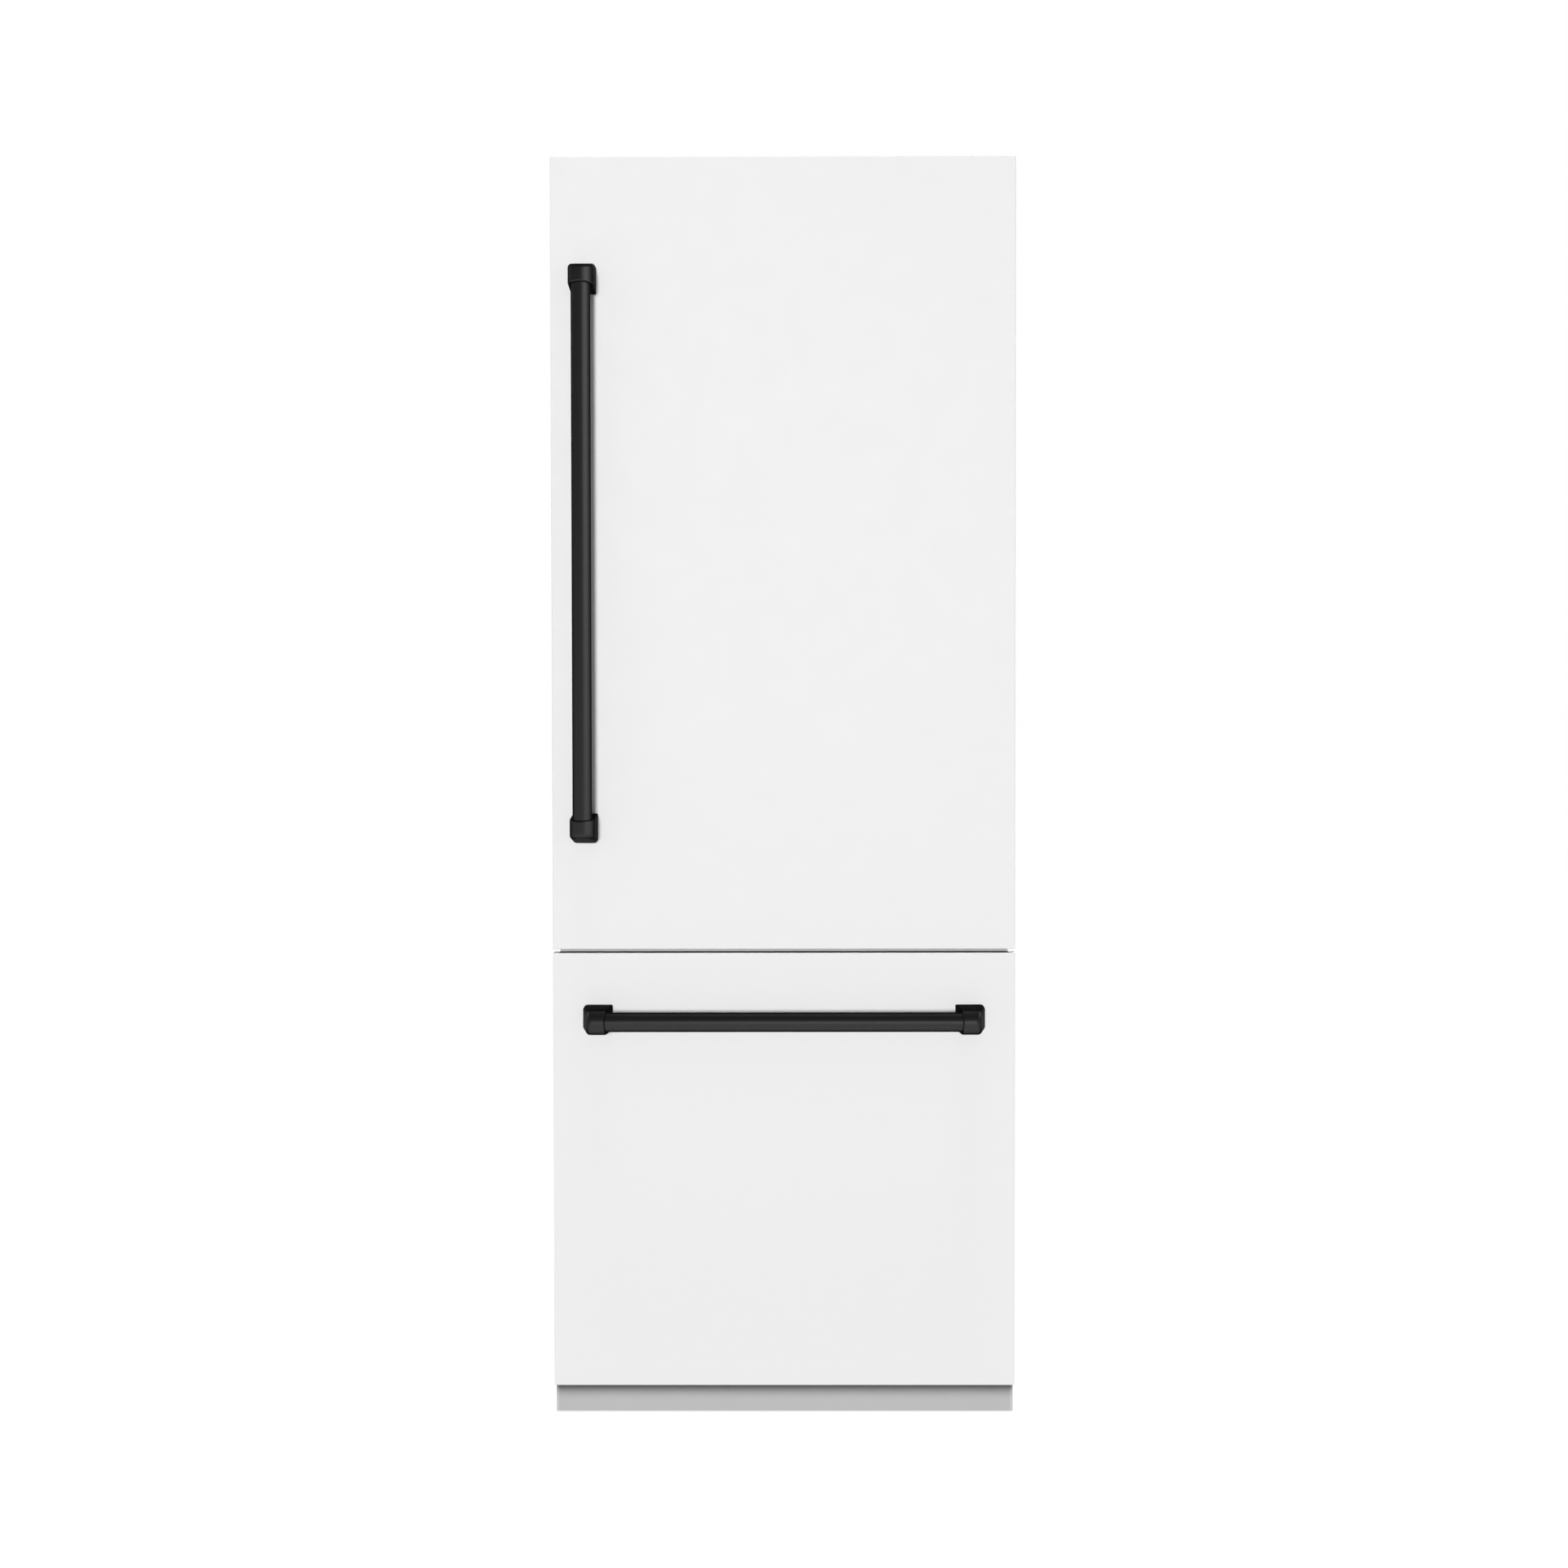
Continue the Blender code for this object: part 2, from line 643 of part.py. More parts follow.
def foam():
    top = CABINET_TOP - SHEET - GAP
    half = CABINET_HALF_WIDTH - SHEET - GAP
    front, back = CABINET_FRONT_Y + SHEET + GAP, CABINET_BACK_Y - SHEET - GAP
    wall = CAVITY_HALF_WIDTH
    bottom = CABINET_BOTTOM + BASE_PLATE + GAP
    piece = block("foam_insulation", (-half, front, bottom), (half, back, top), "foam")
    cut_boxes(piece, [
        ((-wall, front - OVERSHOOT, FRIDGE_BOTTOM), (wall, FRIDGE_BACK_Y, FRIDGE_TOP)),
        ((-half - OVERSHOOT, MACHINE_FRONT_Y, 0),
         (half + OVERSHOOT, back + OVERSHOOT, MACHINE_TOP)),
        ((-wall, front - OVERSHOOT, FREEZER_BOTTOM), (wall, FREEZER_BACK_Y, FREEZER_TOP)),
    ])
    cut_boxes(piece, [((-wall, FREEZER_BACK_Y - OVERSHOOT, FREEZER_STEP_Z),
                       (wall, FREEZER_STEP_BACK_Y, FREEZER_TOP))])


def fridge_liner():
    """The refrigerator's lining, with a ledge under each end of every shelf."""
    outer = CAVITY_HALF_WIDTH - GAP
    inner = outer - LINER
    front = CABINET_FRONT_Y + SHEET + GAP
    back = FRIDGE_BACK_Y - GAP
    low, high = FRIDGE_BOTTOM + GAP, FRIDGE_TOP - GAP
    liner = block("fridge_liner", (-outer, front, low), (outer, back, high), "liner_white")
    cut_boxes(liner, [((-inner, front - OVERSHOOT, low + LINER),
                       (inner, back - LINER, high - LINER))])
    ledges = []
    for level in [CRISPER_COVER_Z, *SHELF_LEVELS.values()]:
        for side in SIDES.values():
            x = (side * (inner - LEDGE_DEEP), side * (inner + LINER / 2))
            z = level - GAP
            ledges.append(((min(x), LEDGE_FRONT_Y, z - LEDGE_TALL), (max(x), LEDGE_BACK_Y, z)))
    join_boxes(liner, ledges)


def freezer_liner():
    outer = CAVITY_HALF_WIDTH - GAP
    inner = outer - LINER
    front = CABINET_FRONT_Y + SHEET + GAP
    low, high = FREEZER_BOTTOM + GAP, FREEZER_TOP - GAP
    back, step_back = FREEZER_BACK_Y - GAP, FREEZER_STEP_BACK_Y - GAP
    step = FREEZER_STEP_Z + GAP
    liner = block("freezer_liner", (-outer, front, low), (outer, back, high), "liner_white")
    join_boxes(liner, [((-outer, back - OVERSHOOT, step), (outer, step_back, high))])
    cut_boxes(liner, [((-inner, front - OVERSHOOT, low + LINER),
                       (inner, back - LINER, high - LINER))])
    cut_boxes(liner, [((-inner, back - 2 * OVERSHOOT, step + LINER),
                       (inner, step_back - LINER, high - LINER))])


def front_frame():
    """The steel face that both gaskets close against."""
    half = CABINET_HALF_WIDTH
    piece = block("front_frame", (-half, CABINET_FRONT_Y, CABINET_BOTTOM),
                  (half, CABINET_FRONT_Y + SHEET, CABINET_TOP), "wrapper_grey")
    wall = CAVITY_HALF_WIDTH
    low, high = CABINET_FRONT_Y - OVERSHOOT, CABINET_FRONT_Y + SHEET + OVERSHOOT
    cut_boxes(piece, [((-wall, low, FRIDGE_BOTTOM), (wall, high, FRIDGE_TOP)),
                      ((-wall, low, FREEZER_BOTTOM), (wall, high, FREEZER_TOP))])


def wrapper():
    """The two side sheets and the top sheet."""
    front = CABINET_FRONT_Y + SHEET + GAP
    back = CABINET_BACK_Y
    half = CABINET_HALF_WIDTH
    under_top = CABINET_TOP - SHEET - GAP
    for label, side in SIDES.items():
        x = (side * (half - SHEET), side * half)
        block(f"side_panel_{label}", (min(x), front, CABINET_BOTTOM), (max(x), back, under_top),
              "wrapper_grey")
    block("top_panel", (-half, front, CABINET_TOP - SHEET), (half, back, CABINET_TOP),
          "wrapper_grey")


def back_panel():
    """The rear sheet, with rows of slots over the machine compartment and a socket hole."""
    half = CABINET_HALF_WIDTH - SHEET - GAP
    low, high = CABINET_BACK_Y - SHEET, CABINET_BACK_Y
    top = CABINET_TOP - SHEET - GAP
    piece = block("back_panel", (-half, low, CABINET_BOTTOM), (half, high, top), "zinc_steel")
    before, behind = low - OVERSHOOT, high + OVERSHOOT
    holes = []
    for middle in SLOT_MIDDLES_X:
        for row in range(SLOT_ROWS):
            z = SLOT_BOTTOM + SLOT_PITCH * row
            holes.append(((middle - SLOT_HALF_LENGTH, before, z),
                          (middle + SLOT_HALF_LENGTH, behind, z + SLOT_TALL)))
    clear = GAP + SHEET / 4
    holes.append(((INLET_X[0] - clear, before, INLET_Z[0] - clear),
                  (INLET_X[1] + clear, behind, INLET_Z[1] + clear)))
    cut_boxes(piece, holes)


def power_inlet():
    """A recessed appliance socket: an open well in a plastic block."""
    piece = block("power_inlet", (INLET_X[0], INLET_FRONT_Y, INLET_Z[0]),
                  (INLET_X[1], CABINET_BACK_Y, INLET_Z[1]), "dark_plastic")
    cut_boxes(piece, [((INLET_X[0] + 2 * INLET_WALL, INLET_FRONT_Y + INLET_WALL,
                        INLET_Z[0] + INLET_WALL),
                       (INLET_X[1] - 2 * INLET_WALL, CABINET_BACK_Y + OVERSHOOT,
                        INLET_Z[1] - INLET_WALL))])


def base_frame():
    """The steel base plate, with an upright lip along its rear edge."""
    half = CABINET_HALF_WIDTH - SHEET - GAP
    front, back = CABINET_FRONT_Y + SHEET + GAP, CABINET_BACK_Y - SHEET - GAP
    piece = block("base_frame", (-half, front, CABINET_BOTTOM),
                  (half, back, CABINET_BOTTOM + BASE_PLATE), "zinc_steel")
    join_boxes(piece, [((-half, back - BASE_PLATE, CABINET_BOTTOM), (half, back, BASE_LIP_TOP))])


def toe_kick():
    """A plain kick plate set back under the fronts, with an end plate at each side."""
    half, inner = KICK_HALF_WIDTH, KICK_HALF_WIDTH - KICK_END
    front, back = FRONT_Y + KICK_SET_BACK, CABINET_FRONT_Y - GAP
    low, high = KICK_SPAN
    piece = block("toe_kick", (-half, front, low), (half, back, high), "grey_metal")
    cut_boxes(piece, [((-inner, front + KICK_SHEET, low - OVERSHOOT),
                       (inner, back + OVERSHOOT, high + OVERSHOOT))])


def levelling_feet():
    top = CABINET_BOTTOM - GAP
    profile = [(0, top), (0.007, top), (0.007, 0.010), (0.0200, 0.008), (0.0215, 0.0015),
               (0.0200, 0), (0, 0)]
    for end, y in (("front", FOOT_FRONT_Y), ("rear", FOOT_REAR_Y)):
        for label, side in SIDES.items():
            lathe(f"foot_{end}_{label}", (side * FOOT_X, y, 0), profile, "foot_black", 24)


def arm_end(steps=12):
    """Half a circle round the hinge axis, from its left side by the front to its right side."""
    turns = [math.pi + math.pi * i / steps for i in range(steps + 1)]
    return [(HINGE_X + ARM_RADIUS * math.cos(a), HINGE_Y + ARM_RADIUS * math.sin(a))
            for a in turns]


def add_pin(arm, start, end):
    pin = bmesh.new()
    cylinder_between(pin, (HINGE_X, HINGE_Y, start), (HINGE_X, HINGE_Y, end), PIN_RADIUS)
    combine(arm, pin, "UNION")


def top_hinge():
    """An arm on the cabinet's top, with a pin down into the door's core.

    Its neck is narrow behind the pin, where the edge of the open door's front passes.
    """
    low, back, neck_y = CABINET_TOP + GAP, TOP_ARM_BACK_Y, HINGE_Y + TOP_ARM_NECK
    left, neck_x = HINGE_X - ARM_REACH, HINGE_X + 2 * PIN_RADIUS
    points = arm_end() + [(neck_x, neck_y), (neck_x, back), (left, back),
                          (left, TOP_ARM_TAPER_Y), (HINGE_X - ARM_RADIUS, neck_y)]
    arm = prism("top_hinge_bracket", points, Matrix.Translation((0, 0, low)), ARM_THICK,
                "zinc_steel")
    add_pin(arm, low + ARM_THICK / 2, TOP_PIN_END)


def middle_hinge():
    """An arm that stands out of the cabinet's face between the door and the drawer."""
    low, face, left = DRAWER_TOP, CABINET_FRONT_Y - GAP, HINGE_X - ARM_REACH
    points = arm_end() + [(HINGE_X + ARM_RADIUS, face), (left, face), (left, MIDDLE_ARM_TAPER_Y)]
    arm = prism("middle_hinge_bracket", points, Matrix.Translation((0, 0, low)), ARM_THICK,
                "zinc_steel")
    join_boxes(arm, [((left, face - MIDDLE_FOOT_THICK, MIDDLE_FOOT_Z[0]),
                      (HINGE_X + ARM_RADIUS, face, MIDDLE_FOOT_Z[1]))])
    add_pin(arm, low + ARM_THICK / 2, MIDDLE_PIN_END)


def glass_shelves():
    half = CAVITY_HALF_WIDTH - GAP - LINER - SHELF_CLEAR
    levels = {**SHELF_LEVELS, "crisper_cover": CRISPER_COVER_Z}
    for name, z in levels.items():
        block(name, (-half, SHELF_FRONT_Y, z), (half, SHELF_BACK_Y, z + SHELF_THICK),
              "shelf_glass")


def crispers():
    """Two open bins under the glass cover, each with a thick front that has a pull lip."""
    floor = FRIDGE_BOTTOM + GAP + LINER + GAP
    front, back = CRISPER_Y
    for label, (x0, x1) in CRISPER_X.items():
        piece = open_box(f"crisper_{label}", (x0, front, floor), (x1, back, CRISPER_TOP),
                         BIN_WALL, "clear_bin")
        join_boxes(piece, [((x0 + PULL_INSET, front - PULL_DEEP, PULL_Z[0]),
                            (x1 - PULL_INSET, front + BIN_WALL / 3, PULL_Z[1]))])


def air_tower():
    back = FRIDGE_BACK_Y - GAP - LINER - GAP
    tower = block("air_tower", TOWER_LOW, (TOWER_HALF_WIDTH, back, TOWER_TOP), "duct_grey")
    front = TOWER_LOW[1]
    cut_boxes(tower, [((-VENT_HALF_WIDTH, front - OVERSHOOT, z),
                       (VENT_HALF_WIDTH, front + VENT_DEEP, z + VENT_TALL))
                      for z in VENT_LEVELS])


def ceiling_light():
    top = FRIDGE_TOP - GAP - LINER - GAP
    x, y = LAMP_HALF_SIZE
    lamp = block("ceiling_light", (-x, -y, top - LAMP_THICK), (x, y, top), "lamp")
    round_edges(lamp, LAMP_ROUND)


def evaporator():
    """A finned block: one back plate and a row of upright fins."""
    front, spine, back = FIN_FRONT_Y, FIN_SPINE_Y, EVAPORATOR_BACK_Y
    start = -FIN_PITCH * FIN_COUNT / 2
    points = [(start, back), (start, front)]
    for i in range(FIN_COUNT):
        x = start + i * FIN_PITCH
        points += [(x + FIN_THICK, front), (x + FIN_THICK, spine)]
        points += [(x + FIN_PITCH, spine), (x + FIN_PITCH, front)]
    end = start + FIN_COUNT * FIN_PITCH + FIN_THICK
    points += [(end, front), (end, back)]
    prism("evaporator", points, Matrix.Translation((0, 0, EVAPORATOR_BOTTOM)), EVAPORATOR_TALL,
          "fin_aluminium")


def evaporator_cover():
    """The panel at the freezer's back, with the fan's round opening and a return slot."""
    half = CAVITY_HALF_WIDTH - GAP - LINER - SHELF_CLEAR
    low, high = FREEZER_STEP_Z + GAP + LINER + GAP, FREEZER_TOP - GAP - LINER - GAP
    front, back = COVER_FRONT_Y, COVER_BACK_Y
    cover = block("evaporator_cover", (-half, front, low), (half, back, high), "duct_grey")
    mouth = bmesh.new()
    x, _, z = EVAPORATOR_FAN
    cylinder_between(mouth, (x, front - OVERSHOOT, z), (x, back + OVERSHOOT, z),
                     EVAPORATOR_FAN_MOUTH)
    combine(cover, mouth)
    rise = low + RETURN_RISE
    cut_boxes(cover, [((-RETURN_HALF_WIDTH, front - OVERSHOOT, rise),
                       (RETURN_HALF_WIDTH, back + OVERSHOOT, rise + RETURN_TALL))])


def fan_outline(tip):
    """Points round a fan: a round hub, and blades that fill most of each step."""
    points = []
    step = 2 * math.pi / FAN_BLADES
    hub_step, blade_step = step * (1 - FAN_BLADE_SHARE), step * FAN_BLADE_SHARE
    for i in range(FAN_BLADES):
        for k in range(4):
            a = i * step + hub_step * k / 3
            points.append((FAN_HUB * math.cos(a), FAN_HUB * math.sin(a)))
        for k in range(4):
            a = i * step + hub_step + blade_step * (0.1 + 0.8 * k / 3)
            points.append((tip * math.cos(a), tip * math.sin(a)))
    return points


def fan(name, centre, along, tip, thick):
    turn = Vector(along).to_track_quat("Z", "Y").to_matrix().to_4x4()
    place = Matrix.Translation(centre) @ turn @ Matrix.Translation((0, 0, -thick / 2))
    return prism(name, fan_outline(tip), place, thick, "dark_plastic", twist=FAN_TWIST)


def fan_shroud():
    x, y, z = CONDENSER_FAN
    shroud = block("fan_shroud", (x - SHROUD_HALF_THICK, *SHROUD_LOW),
                   (x + SHROUD_HALF_THICK, *SHROUD_HIGH), "dark_plastic")
    mouth = bmesh.new()
    cylinder_between(mouth, (x - 2 * OVERSHOOT, y, z), (x + 2 * OVERSHOOT, y, z),
                     CONDENSER_FAN_MOUTH)
    combine(shroud, mouth)


def compressor():
    profile = [(0, 0.202), (0.028, 0.198), (0.050, 0.185), (0.060, 0.160), (0.062, 0.118),
               (0.066, 0.116), (0.066, 0.110), (0.062, 0.108), (0.062, 0.060), (0.058, 0.040),
               (0.045, 0.030), (0, 0.030)]
    lathe("compressor", COMPRESSOR_PLACE, profile, "compressor_black", 28)


def drain_pan():
    low = (*PAN_LOW, CABINET_BOTTOM + BASE_PLATE + 2 * GAP)
    open_box("drain_pan", low, PAN_HIGH, PAN_WALL, "dark_plastic")


def condenser_coil():
    """One tube that runs back and forth in two upright layers above the drain pan."""
    points = []
    for layer, y in enumerate(COIL_LAYERS_Y):
        rows = range(COIL_ROWS) if layer == 0 else reversed(range(COIL_ROWS))
        for row in rows:
            z = COIL_BOTTOM + COIL_PITCH * row
            ends = COIL_ENDS if (row + layer) % 2 == 0 else COIL_ENDS[::-1]
            points += [(x, y, z) for x in ends]
    curve = bpy.data.curves.new("condenser_path", "CURVE")
    curve.dimensions = "3D"
    path = curve.splines.new("POLY")
    path.points.add(len(points) - 1)
    for spot, place in zip(path.points, points):
        spot.co = (*place, 1.0)
    curve.bevel_depth = COIL_TUBE_RADIUS
    curve.bevel_resolution = 1
    curve.use_fill_caps = True
    curve.materials.append(material_for("copper", "condenser_coil"))
    PART.objects.link(bpy.data.objects.new("condenser_coil", curve))


def cabinet():
    wrapper()
    foam()
    fridge_liner()
    freezer_liner()
    front_frame()
    back_panel()
    power_inlet()
    base_frame()
    toe_kick()
    levelling_feet()
    top_hinge()
    middle_hinge()
    outer_rails()


def fridge_fittings():
    glass_shelves()
    crispers()
    air_tower()
    ceiling_light()


def cooling():
    evaporator()
    evaporator_cover()
    compressor()
    condenser_coil()
    drain_pan()
    fan_shroud()


def ride_on(name, place, pieces):
    """Parents the pieces of one moving body to an empty on its joint's axis."""
    axis = bpy.data.objects.new(name, None)
    axis.location = place
    PART.objects.link(axis)
    bpy.context.view_layer.update()
    for piece in pieces:
        piece.parent = axis
        piece.matrix_parent_inverse = axis.matrix_world.inverted()


def moving_pieces():
    ride_on("fridge_door_axis", (HINGE_X, HINGE_Y, DOOR_BOTTOM), fridge_door())
    ride_on("freezer_drawer_axis", (0, FRONT_Y, DRAWER_BOTTOM), freezer_drawer())
    ride_on("freezer_tray_axis", (0, TRAY_LOW[1], TRAY_LOW[2]), freezer_tray())
    for side, rail in middle_rails().items():
        ride_on(f"{rail.name}_axis", (side * MIDDLE_RAIL[0], RAIL_FRONT_Y, RAIL_LOW), [rail])
    ride_on("evaporator_fan_axis", EVAPORATOR_FAN,
            [fan("evaporator_fan", EVAPORATOR_FAN, (0, 1, 0), EVAPORATOR_FAN_TIP,
                 EVAPORATOR_FAN_THICK)])
    ride_on("condenser_fan_axis", CONDENSER_FAN,
            [fan("condenser_fan", CONDENSER_FAN, (1, 0, 0), CONDENSER_FAN_TIP,
                 CONDENSER_FAN_THICK)])


cabinet()
fridge_fittings()
cooling()
moving_pieces()
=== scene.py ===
"""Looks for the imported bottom-freezer refrigerator: finishes, pieces, camera and light."""

import json
import math

import bmesh
import bpy
from mathutils import Matrix, Vector

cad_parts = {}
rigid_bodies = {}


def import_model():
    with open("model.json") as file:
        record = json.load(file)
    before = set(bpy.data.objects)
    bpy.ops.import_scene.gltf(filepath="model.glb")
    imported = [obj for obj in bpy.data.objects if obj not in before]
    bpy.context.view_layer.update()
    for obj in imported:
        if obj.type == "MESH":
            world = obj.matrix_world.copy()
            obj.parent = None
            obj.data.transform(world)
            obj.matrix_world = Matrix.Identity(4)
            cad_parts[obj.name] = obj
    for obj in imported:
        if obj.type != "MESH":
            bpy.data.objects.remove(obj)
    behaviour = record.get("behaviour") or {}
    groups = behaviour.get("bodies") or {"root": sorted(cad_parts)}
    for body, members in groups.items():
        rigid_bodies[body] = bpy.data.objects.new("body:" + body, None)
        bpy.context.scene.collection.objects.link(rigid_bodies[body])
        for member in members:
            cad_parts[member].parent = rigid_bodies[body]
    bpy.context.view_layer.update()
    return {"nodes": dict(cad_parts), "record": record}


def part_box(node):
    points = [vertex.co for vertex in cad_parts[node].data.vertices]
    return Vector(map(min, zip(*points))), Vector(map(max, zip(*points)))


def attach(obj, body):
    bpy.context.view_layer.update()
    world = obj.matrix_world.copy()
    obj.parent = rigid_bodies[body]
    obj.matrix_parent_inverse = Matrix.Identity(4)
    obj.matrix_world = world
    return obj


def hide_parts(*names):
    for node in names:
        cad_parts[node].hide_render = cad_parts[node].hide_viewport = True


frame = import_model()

NODES = frame["nodes"]
SCENE = bpy.context.scene
SIDES = {"left": -1, "right": 1}


# ---------------- camera and light

CAMERA_PLACE = (0.0126, -3.377, 1.2045)
CAMERA_YAW, CAMERA_PITCH, CAMERA_ROLL = -0.221, -1.251, -0.078
CAMERA_LENS, CAMERA_SENSOR = 43.998, 36.0
CAMERA_SHIFT_Y = -0.04
CAMERA_REACH = 100.0

WORLD_STRENGTH = 0.24
FLOOR_HALF_SIDE = 60.0

# Each sun's azimuth, elevation, strength and angular size, with the angles in degrees, then
# words in the names of the meshes that it lights, and words in those that it leaves out.
SUNS = {
    "floor_fill": (0, 90, 2.78, 10, ["floor"], []),
    "overhead": (0, 90, 1.6, 16, [""], ["floor", "handle"]),
    "front_soft": (-2.5, 7.0, 1.51, 9, [""], ["floor", "handle", "kick"]),
    "front_key": (-2.5, 7.0, 1.18, 9, ["door_front", "drawer_front"], []),
    "door_handle_key": (58, 8, 1.7, 60, ["door_handle"], []),
    "drawer_handle_key": (6, 4, 0.6, 24, ["drawer_handle"], []),
    "kick_key": (0, 40, 4.6, 30, ["kick"], []),
    "right_soft": (118, 24, 1.25, 30, [""], ["floor"]),
    "left_soft": (-118, 24, 1.25, 30, [""], ["floor", "back_"]),
    "back_soft": (138, 32, 1.75, 16, [""], ["floor"]),
    "inner_soft": (-58, 20, 0.9, 30, ["lining", "inner_sheet", "bin_"], []),
}


def camera_turn():
    """The camera's axes from its yaw, pitch and roll in degrees, looking along +Y."""
    yaw, pitch, roll = (math.radians(a) for a in (CAMERA_YAW, CAMERA_PITCH, CAMERA_ROLL))
    ahead = Vector((math.sin(yaw) * math.cos(pitch), math.cos(yaw) * math.cos(pitch),
                    math.sin(pitch)))
    right = Vector((math.cos(yaw), -math.sin(yaw), 0))
    up = right.cross(ahead)
    right, up = (right * math.cos(roll) + up * math.sin(roll),
                 up * math.cos(roll) - right * math.sin(roll))
    return Matrix((right, up, -ahead)).transposed()


def add_camera():
    data = bpy.data.cameras.new("camera")
    data.sensor_width = CAMERA_SENSOR
    data.lens = CAMERA_LENS
    data.shift_y = CAMERA_SHIFT_Y
    data.clip_end = CAMERA_REACH
    camera = bpy.data.objects.new("camera", data)
    camera.matrix_world = Matrix.Translation(CAMERA_PLACE) @ camera_turn().to_4x4()
    SCENE.collection.objects.link(camera)
    SCENE.camera = camera


def aim(azimuth, elevation):
    """The turn of a lamp that shines from this direction; azimuth 0 is in front, 90 right."""
    a, e = math.radians(azimuth), math.radians(elevation)
    back = Vector((math.sin(a) * math.cos(e), -math.cos(a) * math.cos(e), math.sin(e)))
    return (-back).to_track_quat("-Z", "Y").to_euler()


def add_sun(name, azimuth, elevation, strength, angle):
    data = bpy.data.lights.new(name, "SUN")
    data.energy = strength
    data.angle = math.radians(angle)
    lamp = bpy.data.objects.new(name, data)
    lamp.rotation_euler = aim(azimuth, elevation)
    SCENE.collection.objects.link(lamp)
    return lamp


def add_world(strength):
    """A plain studio: it lights with this strength, and the camera sees it as pure white."""
    world = bpy.data.worlds.new("studio")
    SCENE.world = world
    world.use_nodes = True
    tree = world.node_tree
    ground = tree.nodes["Background"]
    ground.inputs["Color"].default_value = (1.0, 1.0, 1.0, 1.0)
    seen = node(tree, "ShaderNodeLightPath").outputs["Is Camera Ray"]
    level = node(tree, "ShaderNodeMapRange", Value=seen, To_Min=strength, To_Max=1.0)
    tree.links.new(level.outputs["Result"], ground.inputs["Strength"])


def light_studio():
    """Soft suns, each linked to the meshes that it is meant for."""
    for name, (azimuth, elevation, strength, angle, lit, left_out) in SUNS.items():
        lamp = add_sun(name, azimuth, elevation, strength, angle)
        lamp.data.use_shadow = name != "floor_fill"
        group = bpy.data.collections.new(f"lit_by_{name}")
        for made in bpy.data.objects:
            if made.type == "MESH" and any(word in made.name for word in lit) \
                    and not any(word in made.name for word in left_out):
                group.objects.link(made)
        lamp.light_linking.receiver_collection = group


def add_floor():
    """One wide pale sheet that runs out of every view and throws no light on the object."""
    mesh = bpy.data.meshes.new("floor")
    side = FLOOR_HALF_SIDE
    mesh.from_pydata([(-side, -side, 0), (side, -side, 0), (side, side, 0), (-side, side, 0)],
                     [], [(0, 1, 2, 3)])
    floor = bpy.data.objects.new("floor", mesh)
    SCENE.collection.objects.link(floor)
    floor.visible_diffuse = False
    mesh.materials.append(finish("floor_white", (0.93, 0.93, 0.93), 0.9, tint=0.004, grain=3.0))


# ---------------- finishes

def node(tree, kind, **values):
    """A new node with these input values; a value that is an output socket is linked."""
    made = tree.nodes.new(kind)
    for name, value in values.items():
        key = name.replace("_", " ")
        if hasattr(made, name) and key not in made.inputs:
            setattr(made, name, value)
        elif isinstance(value, bpy.types.NodeSocket):
            tree.links.new(value, made.inputs[key])
        else:
            made.inputs[key].default_value = value
    return made


def pattern(tree, kind, scale, stretch=(1, 1, 1), detail=3.0):
    """A grey pattern in object space: noise, cells or bumps."""
    place = node(tree, "ShaderNodeTexCoord").outputs["Object"]
    mapping = node(tree, "ShaderNodeMapping", Vector=place, Scale=stretch)
    vector = mapping.outputs["Vector"]
    if kind == "noise":
        made = node(tree, "ShaderNodeTexNoise", Vector=vector, Scale=scale, Detail=detail)
        return made.outputs["Fac"]
    made = node(tree, "ShaderNodeTexVoronoi", Vector=vector, Scale=scale)
    if kind == "bumps":
        made.feature = "SMOOTH_F1"
        return made.outputs["Distance"]
    return node(tree, "ShaderNodeSeparateColor", Color=made.outputs["Color"]).outputs["Red"]


def between(tree, factor, low, high):
    """A number that runs from low to high over the middle half of the pattern's range."""
    made = node(tree, "ShaderNodeMapRange", Value=factor, From_Min=0.25, From_Max=0.75,
                To_Min=low, To_Max=high)
    return made.outputs["Result"]


def finish(name, colour, rough, metallic=0.0, tint=0.03, grain=60.0, kind="noise",
           stretch=(1, 1, 1), rough_change=0.04, bump=0.0, bump_kind="noise",
           bump_scale=900.0, **constants):
    """A Principled material whose colour, gloss and height vary in object space.

    The colour varies by the share tint over a pattern of scale grain, and bump is in metres.
    """
    made = bpy.data.materials.new(name)
    made.use_nodes = True
    tree = made.node_tree
    shader = tree.nodes["Principled BSDF"]
    factor = pattern(tree, kind, grain, stretch)
    mix = node(tree, "ShaderNodeMix", data_type="RGBA")
    # A Mix node has an A and a B of each data type, so these go by their full names.
    for socket in mix.inputs:
        if socket.identifier == "A_Color":
            socket.default_value = (*[c * (1 - tint) for c in colour], 1.0)
        elif socket.identifier == "B_Color":
            socket.default_value = (*[min(1.0, c * (1 + tint)) for c in colour], 1.0)
        elif socket.identifier == "Factor_Float":
            tree.links.new(between(tree, factor, 0.0, 1.0), socket)
    result = [s for s in mix.outputs if s.identifier == "Result_Color"][0]
    tree.links.new(result, shader.inputs["Base Color"])
    tree.links.new(between(tree, factor, rough - rough_change, rough + rough_change),
                   shader.inputs["Roughness"])
    shader.inputs["Metallic"].default_value = metallic
    for key, value in constants.items():
        shader.inputs[key.replace("_", " ")].default_value = value
    if bump:
        height = pattern(tree, bump_kind, bump_scale, detail=2.0)
        relief = node(tree, "ShaderNodeBump", Height=height, Distance=bump, Strength=1.0)
        tree.links.new(relief.outputs["Normal"], shader.inputs["Normal"])
    return made


